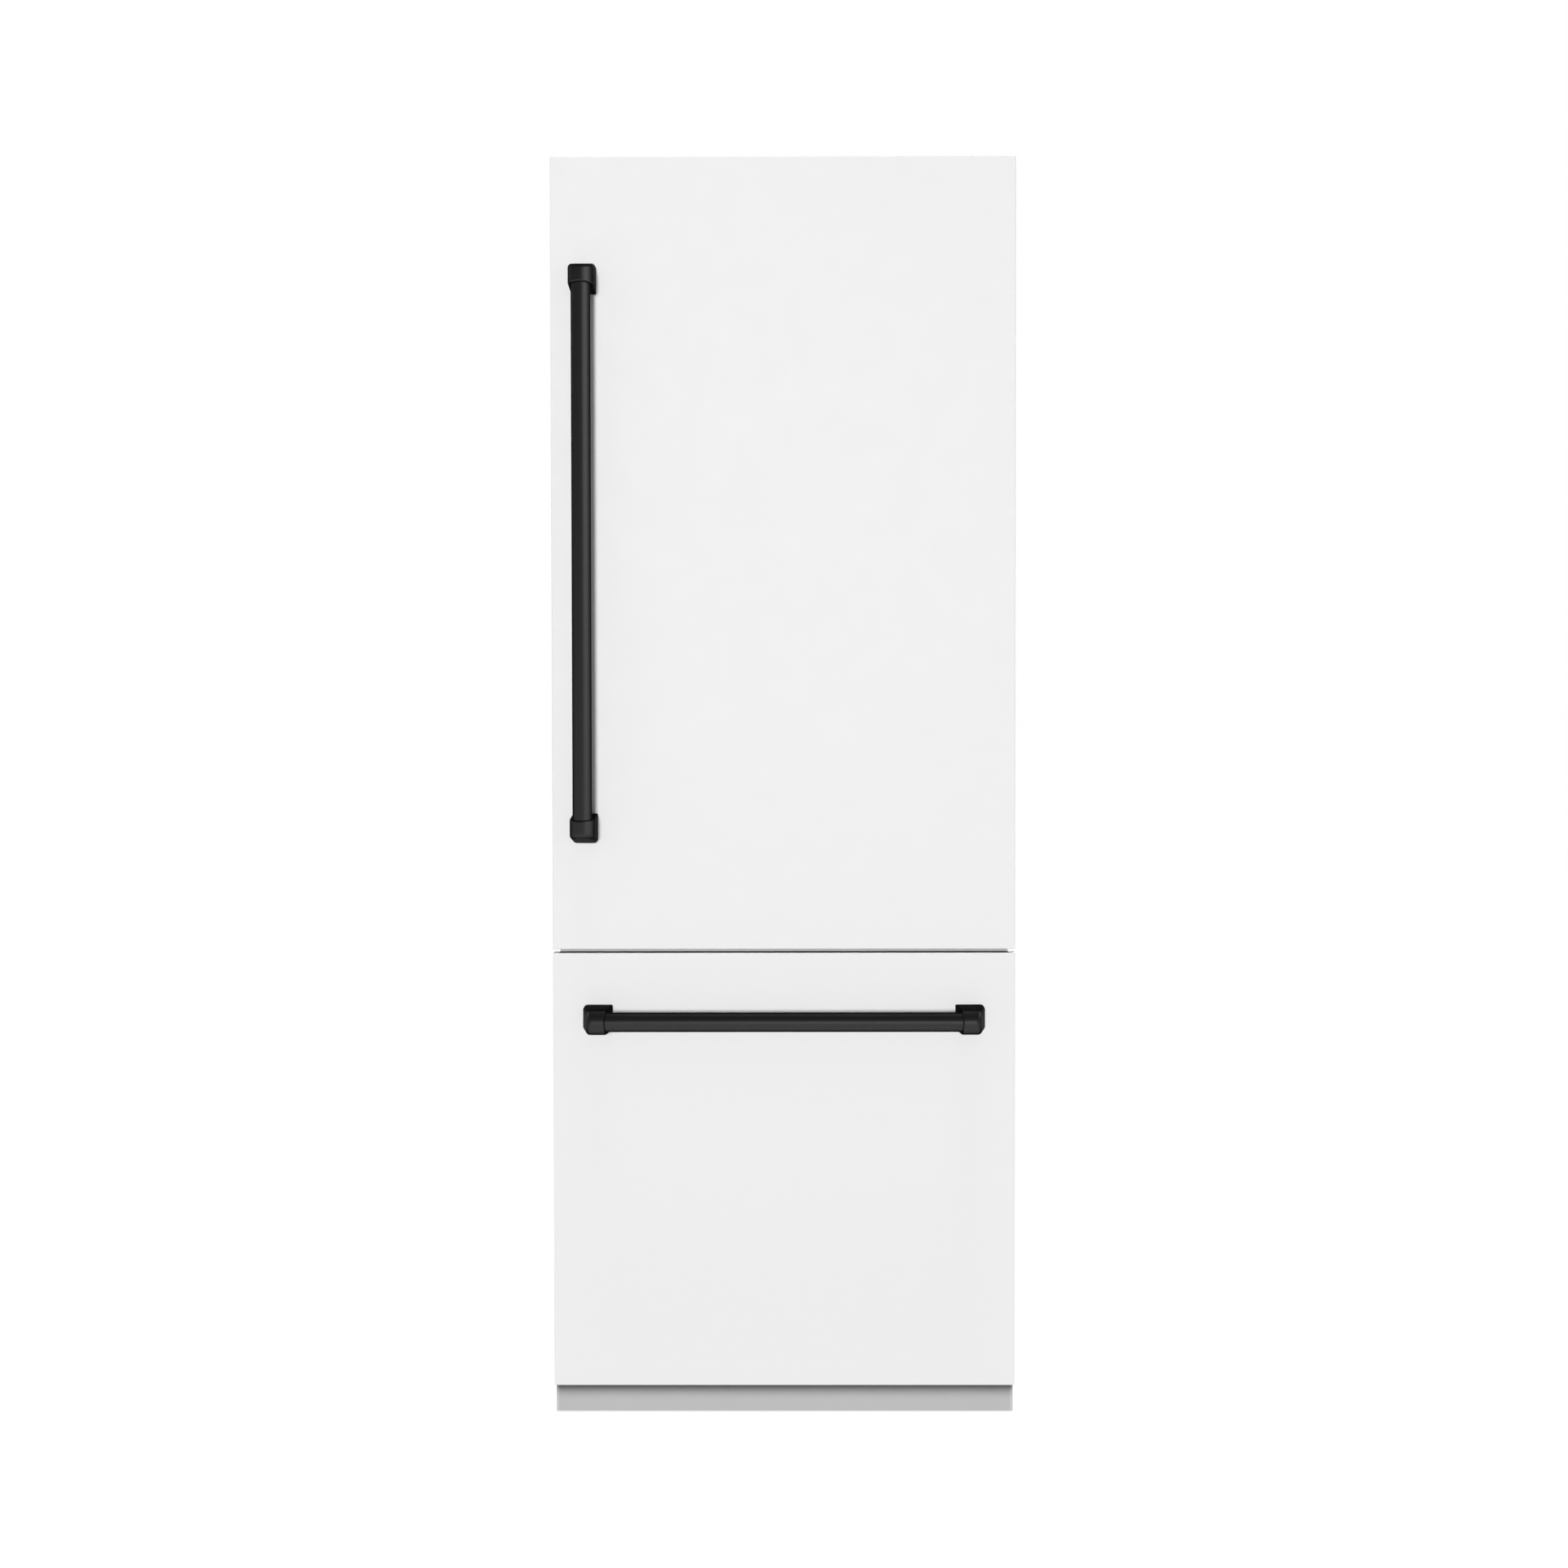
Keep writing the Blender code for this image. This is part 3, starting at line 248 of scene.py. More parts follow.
FINISHES = {
    "front_white": finish("front_white_paint", (0.75, 0.75, 0.75), 0.55, tint=0.004, grain=35,
                          bump=0.00001, bump_scale=650, Specular_IOR_Level=0.35),
    "handle_black": finish("handle_black_satin", (0.044, 0.044, 0.0445), 0.4, 1.0, tint=0.1,
                           grain=900, bump=0.000003, bump_scale=2600,
                           Specular_Tint=(0.12, 0.12, 0.12, 1.0)),
    "kick_grey": finish("kick_grey_paint", (0.36, 0.36, 0.36), 0.45, tint=0.015, grain=20,
                        bump=0.00001, bump_scale=700),
    # The kick plate's end returns: a lighter copy of the kick paint, as painted light because
    # they stand forward and take less shade under the drawer.
    "painted_light_kick_end": finish("kick_ends_painted_lighter", (0.42, 0.42, 0.42), 0.42, tint=0.015, grain=20),
    "cabinet_grey": finish("cabinet_grey_texture", (0.4, 0.41, 0.42), 0.48, grain=8,
                           bump=0.00006, bump_kind="bumps", bump_scale=420),
    "zinc_steel": finish("zinc_spangle", (0.52, 0.53, 0.54), 0.46, 0.85, tint=0.045, grain=210,
                         kind="cells", rough_change=0.03),
    "foam": finish("foam_yellow", (0.74, 0.63, 0.36), 0.85, tint=0.12, grain=90, bump=0.0004,
                   bump_kind="bumps", bump_scale=260),
    "core_grey": finish("core_grey_plastic", (0.36, 0.37, 0.38), 0.5, grain=40, bump=0.00002),
    "liner_white": finish("liner_white_plastic", (0.83, 0.84, 0.85), 0.3, tint=0.008, grain=9,
                          rough_change=0.01, bump=0.00001, bump_scale=420),
    "gasket_grey": finish("gasket_grey_rubber", (0.2, 0.2, 0.21), 0.62, tint=0.08, grain=120,
                          bump=0.00002, bump_scale=1200),
    "clear_plastic": finish("clear_plastic", (0.86, 0.91, 0.93), 0.14, tint=0.02, grain=15,
                            Alpha=0.36),
    "shelf_glass": finish("shelf_glass", (0.8, 0.92, 0.89), 0.05, grain=5, rough_change=0.01,
                          Alpha=0.22),
    "duct_grey": finish("duct_grey_plastic", (0.66, 0.67, 0.69), 0.4, tint=0.02, grain=30,
                        bump=0.00002, bump_scale=500),
    "lamp": finish("lamp_lens", (0.92, 0.92, 0.88), 0.3, tint=0.02, grain=30,
                   Emission_Color=(1.0, 0.97, 0.9, 1.0), Emission_Strength=2.5),
    "screw_steel": finish("screw_steel", (0.26, 0.265, 0.28), 0.38, 1.0, tint=0.08, grain=400),
    "fin_aluminium": finish("fin_aluminium", (0.72, 0.73, 0.74), 0.34, 1.0, tint=0.08,
                            grain=200, stretch=(1, 1, 0.05)),
    "compressor_black": finish("compressor_enamel", (0.022, 0.022, 0.024), 0.3, tint=0.2,
                               grain=40, bump=0.00006, bump_scale=160),
    "copper": finish("copper_tube", (0.68, 0.34, 0.2), 0.3, 1.0, tint=0.18, grain=45),
    "dark_plastic": finish("dark_plastic", (0.055, 0.055, 0.06), 0.52, tint=0.12, grain=200,
                           bump=0.00002),
    "foot_black": finish("foot_rubber", (0.035, 0.035, 0.035), 0.7, tint=0.15, grain=150,
                         bump=0.00003, bump_scale=700),
}


def dress_cad_nodes():
    for part in frame["record"]["subparts"]:
        for spot in NODES[part["node"]].material_slots:
            spot.material = FINISHES[part["material_slot"]]


# ---------------- mesh tools

SMALLEST = 1e-5
SHARP_ANGLE = math.radians(32)


def skin(bm, loops, closed=False):
    """Joins loops of equal length into one body; a closed one runs round to its start."""
    rows = [[bm.verts.new(p) for p in loop] for loop in loops]
    count = len(rows[0])
    pairs = list(zip(rows, rows[1:]))
    if closed:
        pairs.append((rows[-1], rows[0]))
    for lower, upper in pairs:
        for i in range(count):
            j = (i + 1) % count
            bm.faces.new((lower[i], lower[j], upper[j], upper[i]))
    if not closed:
        bm.faces.new(rows[0][::-1])
        bm.faces.new(rows[-1])


def lay(plane, u, v, h):
    """A point whose first two numbers lie in the named plane, and whose third is across it."""
    return {"xy": (u, v, h), "xz": (u, h, v), "yz": (h, u, v)}[plane]


def rect(plane, low, high, radius, h, steps=5):
    """A rounded rectangle between two (u, v) corners, at height h across the plane."""
    half = min(high[0] - low[0], high[1] - low[1]) / 2
    radius = max(SMALLEST, min(radius, half - SMALLEST / 10))
    corners = [(high[0] - radius, high[1] - radius, 0), (low[0] + radius, high[1] - radius, 90),
               (low[0] + radius, low[1] + radius, 180), (high[0] - radius, low[1] + radius, 270)]
    points = []
    for u, v, start in corners:
        for i in range(steps + 1):
            a = math.radians(start + 90 * i / steps)
            points.append(lay(plane, u + radius * math.cos(a), v + radius * math.sin(a), h))
    return points


def grown(plane, low, high, radius, out, h, steps=5):
    return rect(plane, (low[0] - out, low[1] - out), (high[0] + out, high[1] + out),
                radius + out, h, steps)


def circle(plane, centre, radius, h, steps):
    turns = [2 * math.pi * i / steps for i in range(steps)]
    return [lay(plane, centre[0] + radius * math.cos(a), centre[1] + radius * math.sin(a), h)
            for a in turns]


def slab(bm, plane, low, high, h0, h1, radius=0.004, edge=0.001, steps=5):
    """A rounded plate between two (u, v) corners, from height h0 to h1, with soft edges."""
    way = 1 if h1 > h0 else -1
    arc = [(edge * (1 - math.cos(a)), -edge * (1 - math.sin(a)))
           for a in (0, math.pi / 4, math.pi / 2)]
    rows = [(h0 + way * rise, out) for rise, out in arc]
    rows += [(h1 - way * rise, out) for rise, out in arc[::-1]]
    skin(bm, [grown(plane, low, high, radius, out, level, steps) for level, out in rows])


def band(bm, plane, low, high, radius, section, steps=6):
    """A ring round a rectangle; section is a closed list of (outward, height) pairs."""
    skin(bm, [grown(plane, low, high, radius, out, h, steps) for out, h in section], True)


def turned(bm, plane, centre, profile, steps=32):
    """A turned body; profile is a list of (radius, height) pairs from end to end."""
    skin(bm, [circle(plane, centre, max(r, SMALLEST), h, steps) for r, h in profile])


def smooth_path(points, radius, steps=5):
    """The points with every inner corner rounded, by one radius or by a list of them."""
    points = [Vector(p) for p in points]
    radii = radius if isinstance(radius, list) else [radius] * (len(points) - 2)
    out = [points[0]]
    for before, here, after, wanted in zip(points, points[1:], points[2:], radii):
        back, on = before - here, after - here
        reach = min(wanted, back.length * 0.49, on.length * 0.49)
        start, end = here + back.normalized() * reach, here + on.normalized() * reach
        for i in range(steps + 1):
            t = i / steps
            out.append(start * (1 - t) ** 2 + here * 2 * t * (1 - t) + end * t ** 2)
    out.append(points[-1])
    return out


def pipe(bm, points, radius, sides=10, bend=0.0):
    """A round tube with closed ends along the points."""
    path = smooth_path(points, bend) if bend else [Vector(p) for p in points]
    tangent = (path[1] - path[0]).normalized()
    normal = tangent.orthogonal().normalized()
    loops = []
    for i, spot in enumerate(path):
        ahead = path[min(i + 1, len(path) - 1)] - path[max(i - 1, 0)]
        ahead.normalize()
        normal = (normal - ahead * normal.dot(ahead)).normalized()
        across = ahead.cross(normal)
        loops.append([spot + (normal * math.cos(a) + across * math.sin(a)) * radius
                      for a in (2 * math.pi * k / sides for k in range(sides))])
    skin(bm, loops)


def piece(name, bm, slot, body="cabinet", replaces=(), finish_name=None):
    """Makes the mesh in bm a piece that rides on body, in the finish of the record's slot."""
    bmesh.ops.recalc_face_normals(bm, faces=bm.faces)
    mesh = bpy.data.meshes.new(name)
    bm.to_mesh(mesh)
    bm.free()
    mesh.shade_smooth()
    mesh.set_sharp_from_angle(angle=SHARP_ANGLE)
    made = bpy.data.objects.new(name, mesh)
    SCENE.collection.objects.link(made)
    mesh.materials.append(FINISHES[finish_name or slot])
    flat = made.modifiers.new("flat_faces", "WEIGHTED_NORMAL")
    flat.keep_sharp = True
    flat.weight = 80
    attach(made, body)
    if replaces:
        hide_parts(*replaces)


# ---------------- handles

BAR_SIDES = 96
CAP_STRAIGHT, CAP_FOOT = 0.012, 0.0003
CAP_OUTER_ROUND, CAP_INNER_ROUND = 0.0062, 0.002
CAP_OUTER_NOSE, CAP_INNER_NOSE = 0.45, 0.66


def cap_body(bm, place, radius, stand_off, base_half, sign):
    """An end cap: a U section round the bar, with slanted and rounded ends.

    Local +Z runs along the bar and -Y away from the slab. The end on the side that sign
    names is the outer one, with the larger slant and rounding.
    """
    nose = stand_off + radius
    arc = [math.pi * i / 24 for i in range(25)]

    def half_length(depth, end):
        nose_half = base_half * (CAP_OUTER_NOSE if end == sign else CAP_INNER_NOSE)
        share = max(0.0, depth - CAP_STRAIGHT) / (nose - CAP_STRAIGHT)
        return base_half + (nose_half - base_half) * share

    def section(inset, end, back):
        r = radius - inset
        shape = [(-r, CAP_FOOT), (-r, CAP_STRAIGHT)]
        shape += [(-r * math.cos(a), stand_off + r * math.sin(a)) for a in arc]
        shape += [(r, CAP_STRAIGHT), (r, CAP_FOOT)]
        return [place @ Vector((u, -d, end * (half_length(d, end) - back))) for u, d in shape]

    loops = []
    turns = [math.pi / 2 * i / 5 for i in range(6)]
    for end in (-1, 1):
        size = CAP_OUTER_ROUND if end == sign else CAP_INNER_ROUND
        rows = [section(size * (1 - math.sin(a)), end, size * (1 - math.cos(a))) for a in turns]
        loops += rows if end == -1 else rows[::-1]
    skin(bm, loops)


def handle(body, label, ends):
    """A tubular handle with its two caps; ends gives each cap's side along local +Z."""
    bar_node = f"{label}_handle_bar"
    low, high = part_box(bar_node)
    upright = label == "door"
    radius = min(high - low) / 2
    middle = (low + high) / 2
    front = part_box(f"{label}_front")[0].y
    turn = Matrix.Identity(4) if upright else Matrix.Rotation(math.radians(90), 4, "Y")
    for end, sign in ends.items():
        name = f"{label}_handle_cap_{end}"
        cap_low, cap_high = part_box(name)
        spot = (cap_low + cap_high) / 2
        half = (cap_high - cap_low) / 2
        across, along = (half.x, half.z) if upright else (half.z, half.x)
        place = Matrix.Translation((spot.x, front, spot.z)) @ turn
        bm = bmesh.new()
        cap_body(bm, place, across, front - middle.y, along, sign)
        piece(f"{name}_fine", bm, "handle_black", body, [name])
    bm = bmesh.new()
    if upright:
        turned(bm, "xy", (middle.x, middle.y), [(radius, low.z), (radius, high.z)], BAR_SIDES)
    else:
        turned(bm, "yz", (middle.y, middle.z), [(radius, low.x), (radius, high.x)], BAR_SIDES)
    piece(f"{bar_node}_fine", bm, "handle_black", body, [bar_node])


def handles():
    handle("fridge_door", "door", {"top": 1, "bottom": -1})
    handle("freezer_drawer", "drawer", SIDES)


# ---------------- repeated shapes

LINING_WALL = 0.002
TUB_BOTTOM = [(0.01, 0.0), (0.004, 0.0012), (0.001, 0.004), (0.0, 0.01)]


def prism(bm, section, x0, x1):
    """A straight body: the section's (y, z) points, from x0 to x1."""
    skin(bm, [[(x, y, z) for y, z in section] for x in (x0, x1)])


def tub(bm, low, high, wall, radius, taper, lip, lip_tall):
    """An open tub with a rounded bottom, tapered walls and a rolled rim."""
    floor, top, foot = low[2], high[2], -lip - taper
    brim = top - lip_tall
    rows = [(foot - out, floor + up) for out, up in TUB_BOTTOM]
    rows += [(-lip, brim), (-0.0006, brim), (0.0, brim + 0.0006), (0.0, top - 0.0012),
             (-0.0012, top), (-lip - wall + 0.0012, top), (-lip - wall, top - 0.0012)]
    rows += [(foot - wall - out, floor + wall + up) for out, up in TUB_BOTTOM[::-1]]
    skin(bm, [grown("xy", low[:2], high[:2], radius, out, h, 6) for out, h in rows])


def hex_screw(bm, plane, spot, base, way, radius=0.0042, tall=0.0024):
    """A hexagon head on a washer; way is +1 or -1 along the plane's own normal."""
    turned(bm, plane, spot, [(radius * 1.5, base), (radius * 1.5, base + way * tall * 0.25),
                             (radius * 1.2, base + way * tall * 0.4)], 20)
    turned(bm, plane, spot, [(radius, base), (radius, base + way * tall * 0.86),
                             (radius * 0.8, base + way * tall)], 6)


def cap_screw(bm, plane, spot, base, way, radius, tall):
    """A flat round head with a sunk socket."""
    profile = [(radius, base), (radius, base + way * tall * 0.75),
               (radius * 0.88, base + way * tall), (radius * 0.52, base + way * tall),
               (radius * 0.44, base + way * tall * 0.5), (radius * 0.05, base + way * tall * 0.4)]
    turned(bm, plane, spot, profile, 24)


def spread(first, last, count):
    return [first + (last - first) * i / (count - 1) for i in range(count)]


def inner_box(name):
    """The lowest and highest corners of the space in a lining that is open at its front."""
    low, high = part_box(name)
    wall = LINING_WALL
    return low + Vector((wall, 0, wall)), high - Vector((wall, wall, wall))


def rounded_path(corners, radius):
    """An open (y, z) path with rounded corners, and the unit normal on its right-hand side."""
    path = [Vector((p.x, p.y)) for p in smooth_path([(*c, 0.0) for c in corners], radius, 6)]
    out = []
    for i, spot in enumerate(path):
        before = path[max(i - 1, 0)]
        after = path[min(i + 1, len(path) - 1)]
        run = (after - before).normalized()
        out.append((spot, Vector((run.y, -run.x))))
    return out


def lining(name, corners, half_width, replaced, path_round=0.026, side_round=0.018):
    """A moulded lining with an open front; corners run over its top, back and bottom."""
    path = rounded_path(corners, path_round)
    turns = [math.pi / 2 * i / 6 for i in range(7)]
    stations = [(-half_width + side_round * (1 - math.cos(a)), side_round * (1 - math.sin(a)))
                for a in turns]
    stations += [(-x, inset) for x, inset in stations[::-1]]
    shell = [spot - normal * LINING_WALL for spot, normal in path][::-1]
    bm = bmesh.new()
    loops = []
    for x, inset in stations:
        inner = [spot + normal * inset for spot, normal in path]
        loops.append([(x, p.x, p.y) for p in inner + shell])
    skin(bm, loops)
    outline = [spot for spot, normal in path]
    for side in SIDES.values():
        prism(bm, outline, side * half_width, side * (half_width + LINING_WALL))
    piece(name, bm, "liner_white", replaces=replaced)


# ---------------- fronts, kick plate and outside

SUNK = 0.0002        # how deep the foot of a detail goes into the face that it stands on
GAP_HALF_WIDTH = 0.365
KICK_END_WIDTH = 0.0046
SIDE_FIELD_EDGES = (0.06, 0.09)
SIDE_SCREWS = 7


def gap_strip():
    """The pale strip that stands on the drawer's top edge, and a dark sheet in front of it on the
    drawer front's top face, which is painted shade for the shadowed gap under the door.
    """
    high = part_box("drawer_front")[1]
    bm = bmesh.new()
    slab(bm, "xz", (-GAP_HALF_WIDTH, high.z - SUNK), (GAP_HALF_WIDTH, high.z + 0.0044),
         high.y + 0.0002, high.y + 0.0078, 0.0008, 0.0004)
    piece("drawer_gap_strip", bm, "duct_grey", "freezer_drawer")
    # A dark sheet on the drawer front's top face: painted shade for the gap between door and
    # drawer.
    bm = bmesh.new()
    slab(bm, "xy", (-GAP_HALF_WIDTH, high.y - 0.0172), (GAP_HALF_WIDTH, high.y - 0.001),
         high.z - SUNK, high.z + 0.0005, 0.001, 0.0002)
    piece("drawer_gap_seal", bm, "gasket_grey", "freezer_drawer", finish_name="dark_plastic")


def kick_details():
    low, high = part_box("toe_kick")
    for side, sign in SIDES.items():
        bm = bmesh.new()
        x = sorted((sign * (high.x - KICK_END_WIDTH), sign * high.x))
        slab(bm, "xz", (x[0], low.z), (x[1], high.z), low.y, low.y - 0.0005, 0.0008, 0.0003)
        # The end plates take the lighter paint: painted light, because they stand forward and
        # take less shade.
        piece(f"kick_end_plate_{side}", bm, "kick_grey", finish_name="painted_light_kick_end")


def side_details():
    """On each side sheet: a rear hem with screws, a front edge trim and a pressed field."""
    low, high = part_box("side_panel_right")
    for side, sign in SIDES.items():
        base = sign * high.x
        bm = bmesh.new()
        for y0, y1, thick in ((high.y - 0.016, high.y - 0.0004, 0.0012),
                              (low.y + 0.0006, low.y + 0.014, 0.001)):
            slab(bm, "yz", (y0, low.z + 0.001), (y1, high.z - 0.001), base - sign * 0.0003,
                 base + sign * thick, 0.0025, 0.0005)
        in_y, in_z = SIDE_FIELD_EDGES
        slab(bm, "yz", (low.y + in_y, low.z + in_z), (high.y - in_y, high.z - in_z),
             base - sign * 0.0004, base + sign * 0.0007, 0.03, 0.0006, 8)
        piece(f"side_pressing_{side}", bm, "cabinet_grey")
        bm = bmesh.new()
        for z in spread(low.z + 0.1, high.z - 0.1, SIDE_SCREWS):
            hex_screw(bm, "yz", (high.y - 0.0085, z), base + sign * 0.001, sign, 0.0032, 0.002)
        piece(f"side_screws_{side}", bm, "zinc_steel")


# The air slots of the CAD rear sheet, and the fields, machine cover and inlet on that sheet.
SLOT_COLUMNS = (-0.19, 0.1)
SLOT_HALF_LENGTH = 0.1
SLOT_LOWEST, SLOT_PITCH, SLOT_TALL, SLOT_ROWS = 0.08, 0.026, 0.007, 7
BACK_FIELDS = ((0.36, 0.88), (0.93, 1.44), (1.49, 1.97))
BACK_RIBS, BACK_RIB_HALF = (-0.16, 0.0, 0.16), 0.011
COVER_TOP, COVER_RIM = 0.325, 0.012
COVER_FACE = 0.0013
COVER_SCREW_LEVELS = (0.055, 0.18, 0.305)
BACK_SCREWS_FROM, BACK_SCREWS = 0.4, 9
INLET_EAR = 0.036
INLET_PINS = ((-0.0075, -0.0025), (0.0075, -0.0025), (0.0, 0.0035))


def louvre(bm, x, z, y):
    """A pressed hood above one air slot, open below."""
    thick, out, tall = 0.0008, 0.0058, 0.0095
    stations = [(-1.0, 0.05), (-0.985, 0.45), (-0.95, 0.85), (-0.9, 1.0), (0.9, 1.0),
                (0.95, 0.85), (0.985, 0.45), (1.0, 0.05)]
    loops = []
    for along, share in stations:
        arc = [math.pi / 2 * i / 5 for i in range(6)]
        outer = [(out * share * math.sin(a), tall * math.cos(a)) for a in arc]
        inner = [(max(0.0, out * share - thick) * math.sin(a), (tall - thick) * math.cos(a))
                 for a in arc[::-1]]
        loops.append([(x + along * (SLOT_HALF_LENGTH + 0.004), y + u, z + v)
                      for u, v in outer + inner])
    skin(bm, loops)


def back_details():
    low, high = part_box("back_panel")
    face = high.y
    bm = bmesh.new()
    for z0, z1 in BACK_FIELDS:
        slab(bm, "xz", (low.x + 0.045, z0), (high.x - 0.045, z1), face - SUNK, face + 0.0026,
             0.025, 0.002, 8)
        for x in BACK_RIBS:
            slab(bm, "xz", (x - BACK_RIB_HALF, z0 + 0.04), (x + BACK_RIB_HALF, z1 - 0.04),
                 face + 0.002, face + 0.0054, BACK_RIB_HALF, 0.003, 6)
    piece("back_pressings", bm, "zinc_steel")

    bm = bmesh.new()
    band(bm, "xz", (low.x + 0.008, low.z + 0.012), (high.x - 0.008, COVER_TOP), COVER_RIM,
         [(0.0, face - SUNK), (0.0, face + 0.0009), (-0.0005, face + 0.0014),
          (0.0005 - COVER_RIM, face + 0.0014), (-COVER_RIM, face + 0.0009),
          (-COVER_RIM, face - SUNK)])
    piece("machine_cover_flange", bm, "zinc_steel")

    bm = bmesh.new()
    for x in SLOT_COLUMNS:
        for row in range(SLOT_ROWS):
            louvre(bm, x, SLOT_LOWEST + row * SLOT_PITCH + SLOT_TALL / 2 - 0.003, face - SUNK)
    piece("back_louvres", bm, "zinc_steel")

    bm = bmesh.new()
    for x in (low.x + 0.014, high.x - 0.014):
        for z in spread(BACK_SCREWS_FROM, high.z - 0.03, BACK_SCREWS):
            hex_screw(bm, "xz", (x, z), face, 1)
        for z in COVER_SCREW_LEVELS:
            hex_screw(bm, "xz", (x, z), face + COVER_FACE, 1)
    for x in spread(low.x + 0.12, high.x - 0.12, 4):
        hex_screw(bm, "xz", (x, high.z - 0.016), face, 1)
        hex_screw(bm, "xz", (x, COVER_TOP - COVER_RIM / 2), face + COVER_FACE, 1)
    piece("back_screws", bm, "zinc_steel", finish_name="screw_steel")

    low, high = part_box("power_inlet")
    middle = (low + high) / 2
    bm = bmesh.new()
    band(bm, "xz", (low.x - 0.004, low.z - 0.004), (high.x + 0.004, high.z + 0.004), 0.006,
         [(0.0, face), (0.0, face + 0.0016), (-0.0012, face + 0.0026), (-0.0066, face + 0.0026),
          (-0.0078, face + 0.0014), (-0.0078, face)])
    for sign in SIDES.values():
        ear = middle.x + sign * INLET_EAR
        slab(bm, "xz", (ear - 0.007, middle.z - 0.01), (ear + 0.007, middle.z + 0.01), face,
             face + 0.002, 0.006, 0.0007)
        cap_screw(bm, "xz", (ear, middle.z), face + 0.0019, 1, 0.0034, 0.0018)
    piece("inlet_bezel", bm, "dark_plastic")
    bm = bmesh.new()
    for x, z in INLET_PINS:
        slab(bm, "xz", (middle.x + x - 0.001, middle.z + z - 0.003),
             (middle.x + x + 0.001, middle.z + z + 0.003), middle.y - 0.006, high.y - 0.001,
             0.0006, 0.0004)
    piece("inlet_pins", bm, "zinc_steel")


TOP_RIBS = (0.1, 0.17, 0.24)
BOX_LOW, BOX_HIGH, BOX_TALL = (-0.2, -0.16), (0.02, -0.01), 0.0165
BOX_FLANGE = 0.012
BOX_VENTS, BOX_VENT_FROM, BOX_VENT_PITCH = 9, -0.165, 0.0145
CONDUIT_RADIUS, CONDUIT_LEVEL = 0.0045, 0.0062
HINGE_COVER_FRONT = -0.196


def top_details():
    """Pressings, the control box, the conduit to the door's hinge and that hinge's cover."""
    low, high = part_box("top_panel")
    face = high.z
    bm = bmesh.new()
    slab(bm, "xy", (low.x + 0.05, low.y + 0.115), (high.x - 0.05, high.y - 0.04),
         face - SUNK, face + 0.0012, 0.025, 0.0009, 8)
    for y in TOP_RIBS:
        slab(bm, "xy", (low.x + 0.1, y - 0.01), (high.x - 0.1, y + 0.01), face + 0.0008,
             face + 0.003, 0.01, 0.0014, 6)
    for x in (low.x + 0.001, high.x - 0.013):
        slab(bm, "xy", (x, low.y + 0.002), (x + 0.012, high.y - 0.002), face - SUNK,
             face + 0.001, 0.002, 0.0005)
    piece("top_pressings", bm, "cabinet_grey")

    bm = bmesh.new()
    slab(bm, "xy", BOX_LOW, BOX_HIGH, face, face + BOX_TALL, 0.01, 0.0035, 6)
    flange_low = [value - BOX_FLANGE for value in BOX_LOW]
    flange_high = [value + BOX_FLANGE for value in BOX_HIGH]
    slab(bm, "xy", flange_low, flange_high, face, face + 0.0016, 0.01, 0.0006, 6)
    for i in range(BOX_VENTS):
        x = BOX_VENT_FROM + BOX_VENT_PITCH * i
        slab(bm, "xy", (x - 0.003, -0.06), (x + 0.003, -0.03), face + 0.016, face + 0.0174,
             0.0029, 0.0006)
    piece("control_box", bm, "duct_grey")
    bm = bmesh.new()
    level = face + CONDUIT_LEVEL
    pipe(bm, [(BOX_HIGH[0], -0.12, level), (0.11, -0.12, level), (0.18, -0.168, level),
              (0.284, -0.168, level)], CONDUIT_RADIUS, 14, 0.05)
    piece("hinge_conduit", bm, "dark_plastic")

    plate_low, plate_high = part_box("top_hinge_bracket")
    cover_back = plate_high.y + 0.03
    bm = bmesh.new()
    slab(bm, "xy", (plate_low.x - 0.006, HINGE_COVER_FRONT), (plate_high.x - 0.0005, cover_back),
         face + 0.0002, face + 0.0165, 0.012, 0.0045, 6)
    piece("hinge_cover", bm, "dark_plastic")

    bm = bmesh.new()
    for x in (low.x + 0.007, high.x - 0.007):
        for y in spread(-0.05, high.y - 0.03, 5):
            hex_screw(bm, "xy", (x, y), face + 0.0008, 1, 0.0034, 0.0022)
    for x in (BOX_LOW[0] - BOX_FLANGE / 2, BOX_HIGH[0] + BOX_FLANGE / 2):
        for y in (BOX_LOW[1] - BOX_FLANGE / 2, BOX_HIGH[1] + BOX_FLANGE / 2):
            hex_screw(bm, "xy", (x, y), face + 0.0012, 1, 0.003, 0.0022)
    middle = (cover_back + HINGE_COVER_FRONT) / 2
    for x in (plate_low.x + 0.01, plate_high.x - 0.016):
        cap_screw(bm, "xy", (x, middle), face + 0.016, 1, 0.0045, 0.0016)
    piece("top_screws", bm, "zinc_steel", finish_name="screw_steel")


def foot_details():
    """A lock nut above each levelling foot's pad."""
    bm = bmesh.new()
    for name in ("foot_front_left", "foot_front_right", "foot_rear_left", "foot_rear_right"):
        low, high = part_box(name)
        spot = ((low.x + high.x) / 2, (low.y + high.y) / 2)
        turned(bm, "xy", spot, [(0.0085, high.z - 0.0062), (0.009, high.z - 0.0056),
                                (0.009, high.z - 0.001), (0.0085, high.z - 0.0004)], 6)
    piece("foot_nuts", bm, "zinc_steel")


# ---------------- refrigerator space

SHELVES = ("shelf_lower", "shelf_middle", "shelf_upper", "crisper_cover")
LEDGE_FRONT, LEDGE_BACK = -0.09, 0.255
VENT_LEVELS = (1.2, 1.42, 1.64, 1.86)
VENT_BARS, VENT_BAR_REACH = 5, 0.044
BUTTONS, BUTTON_REACH = 5, 0.08


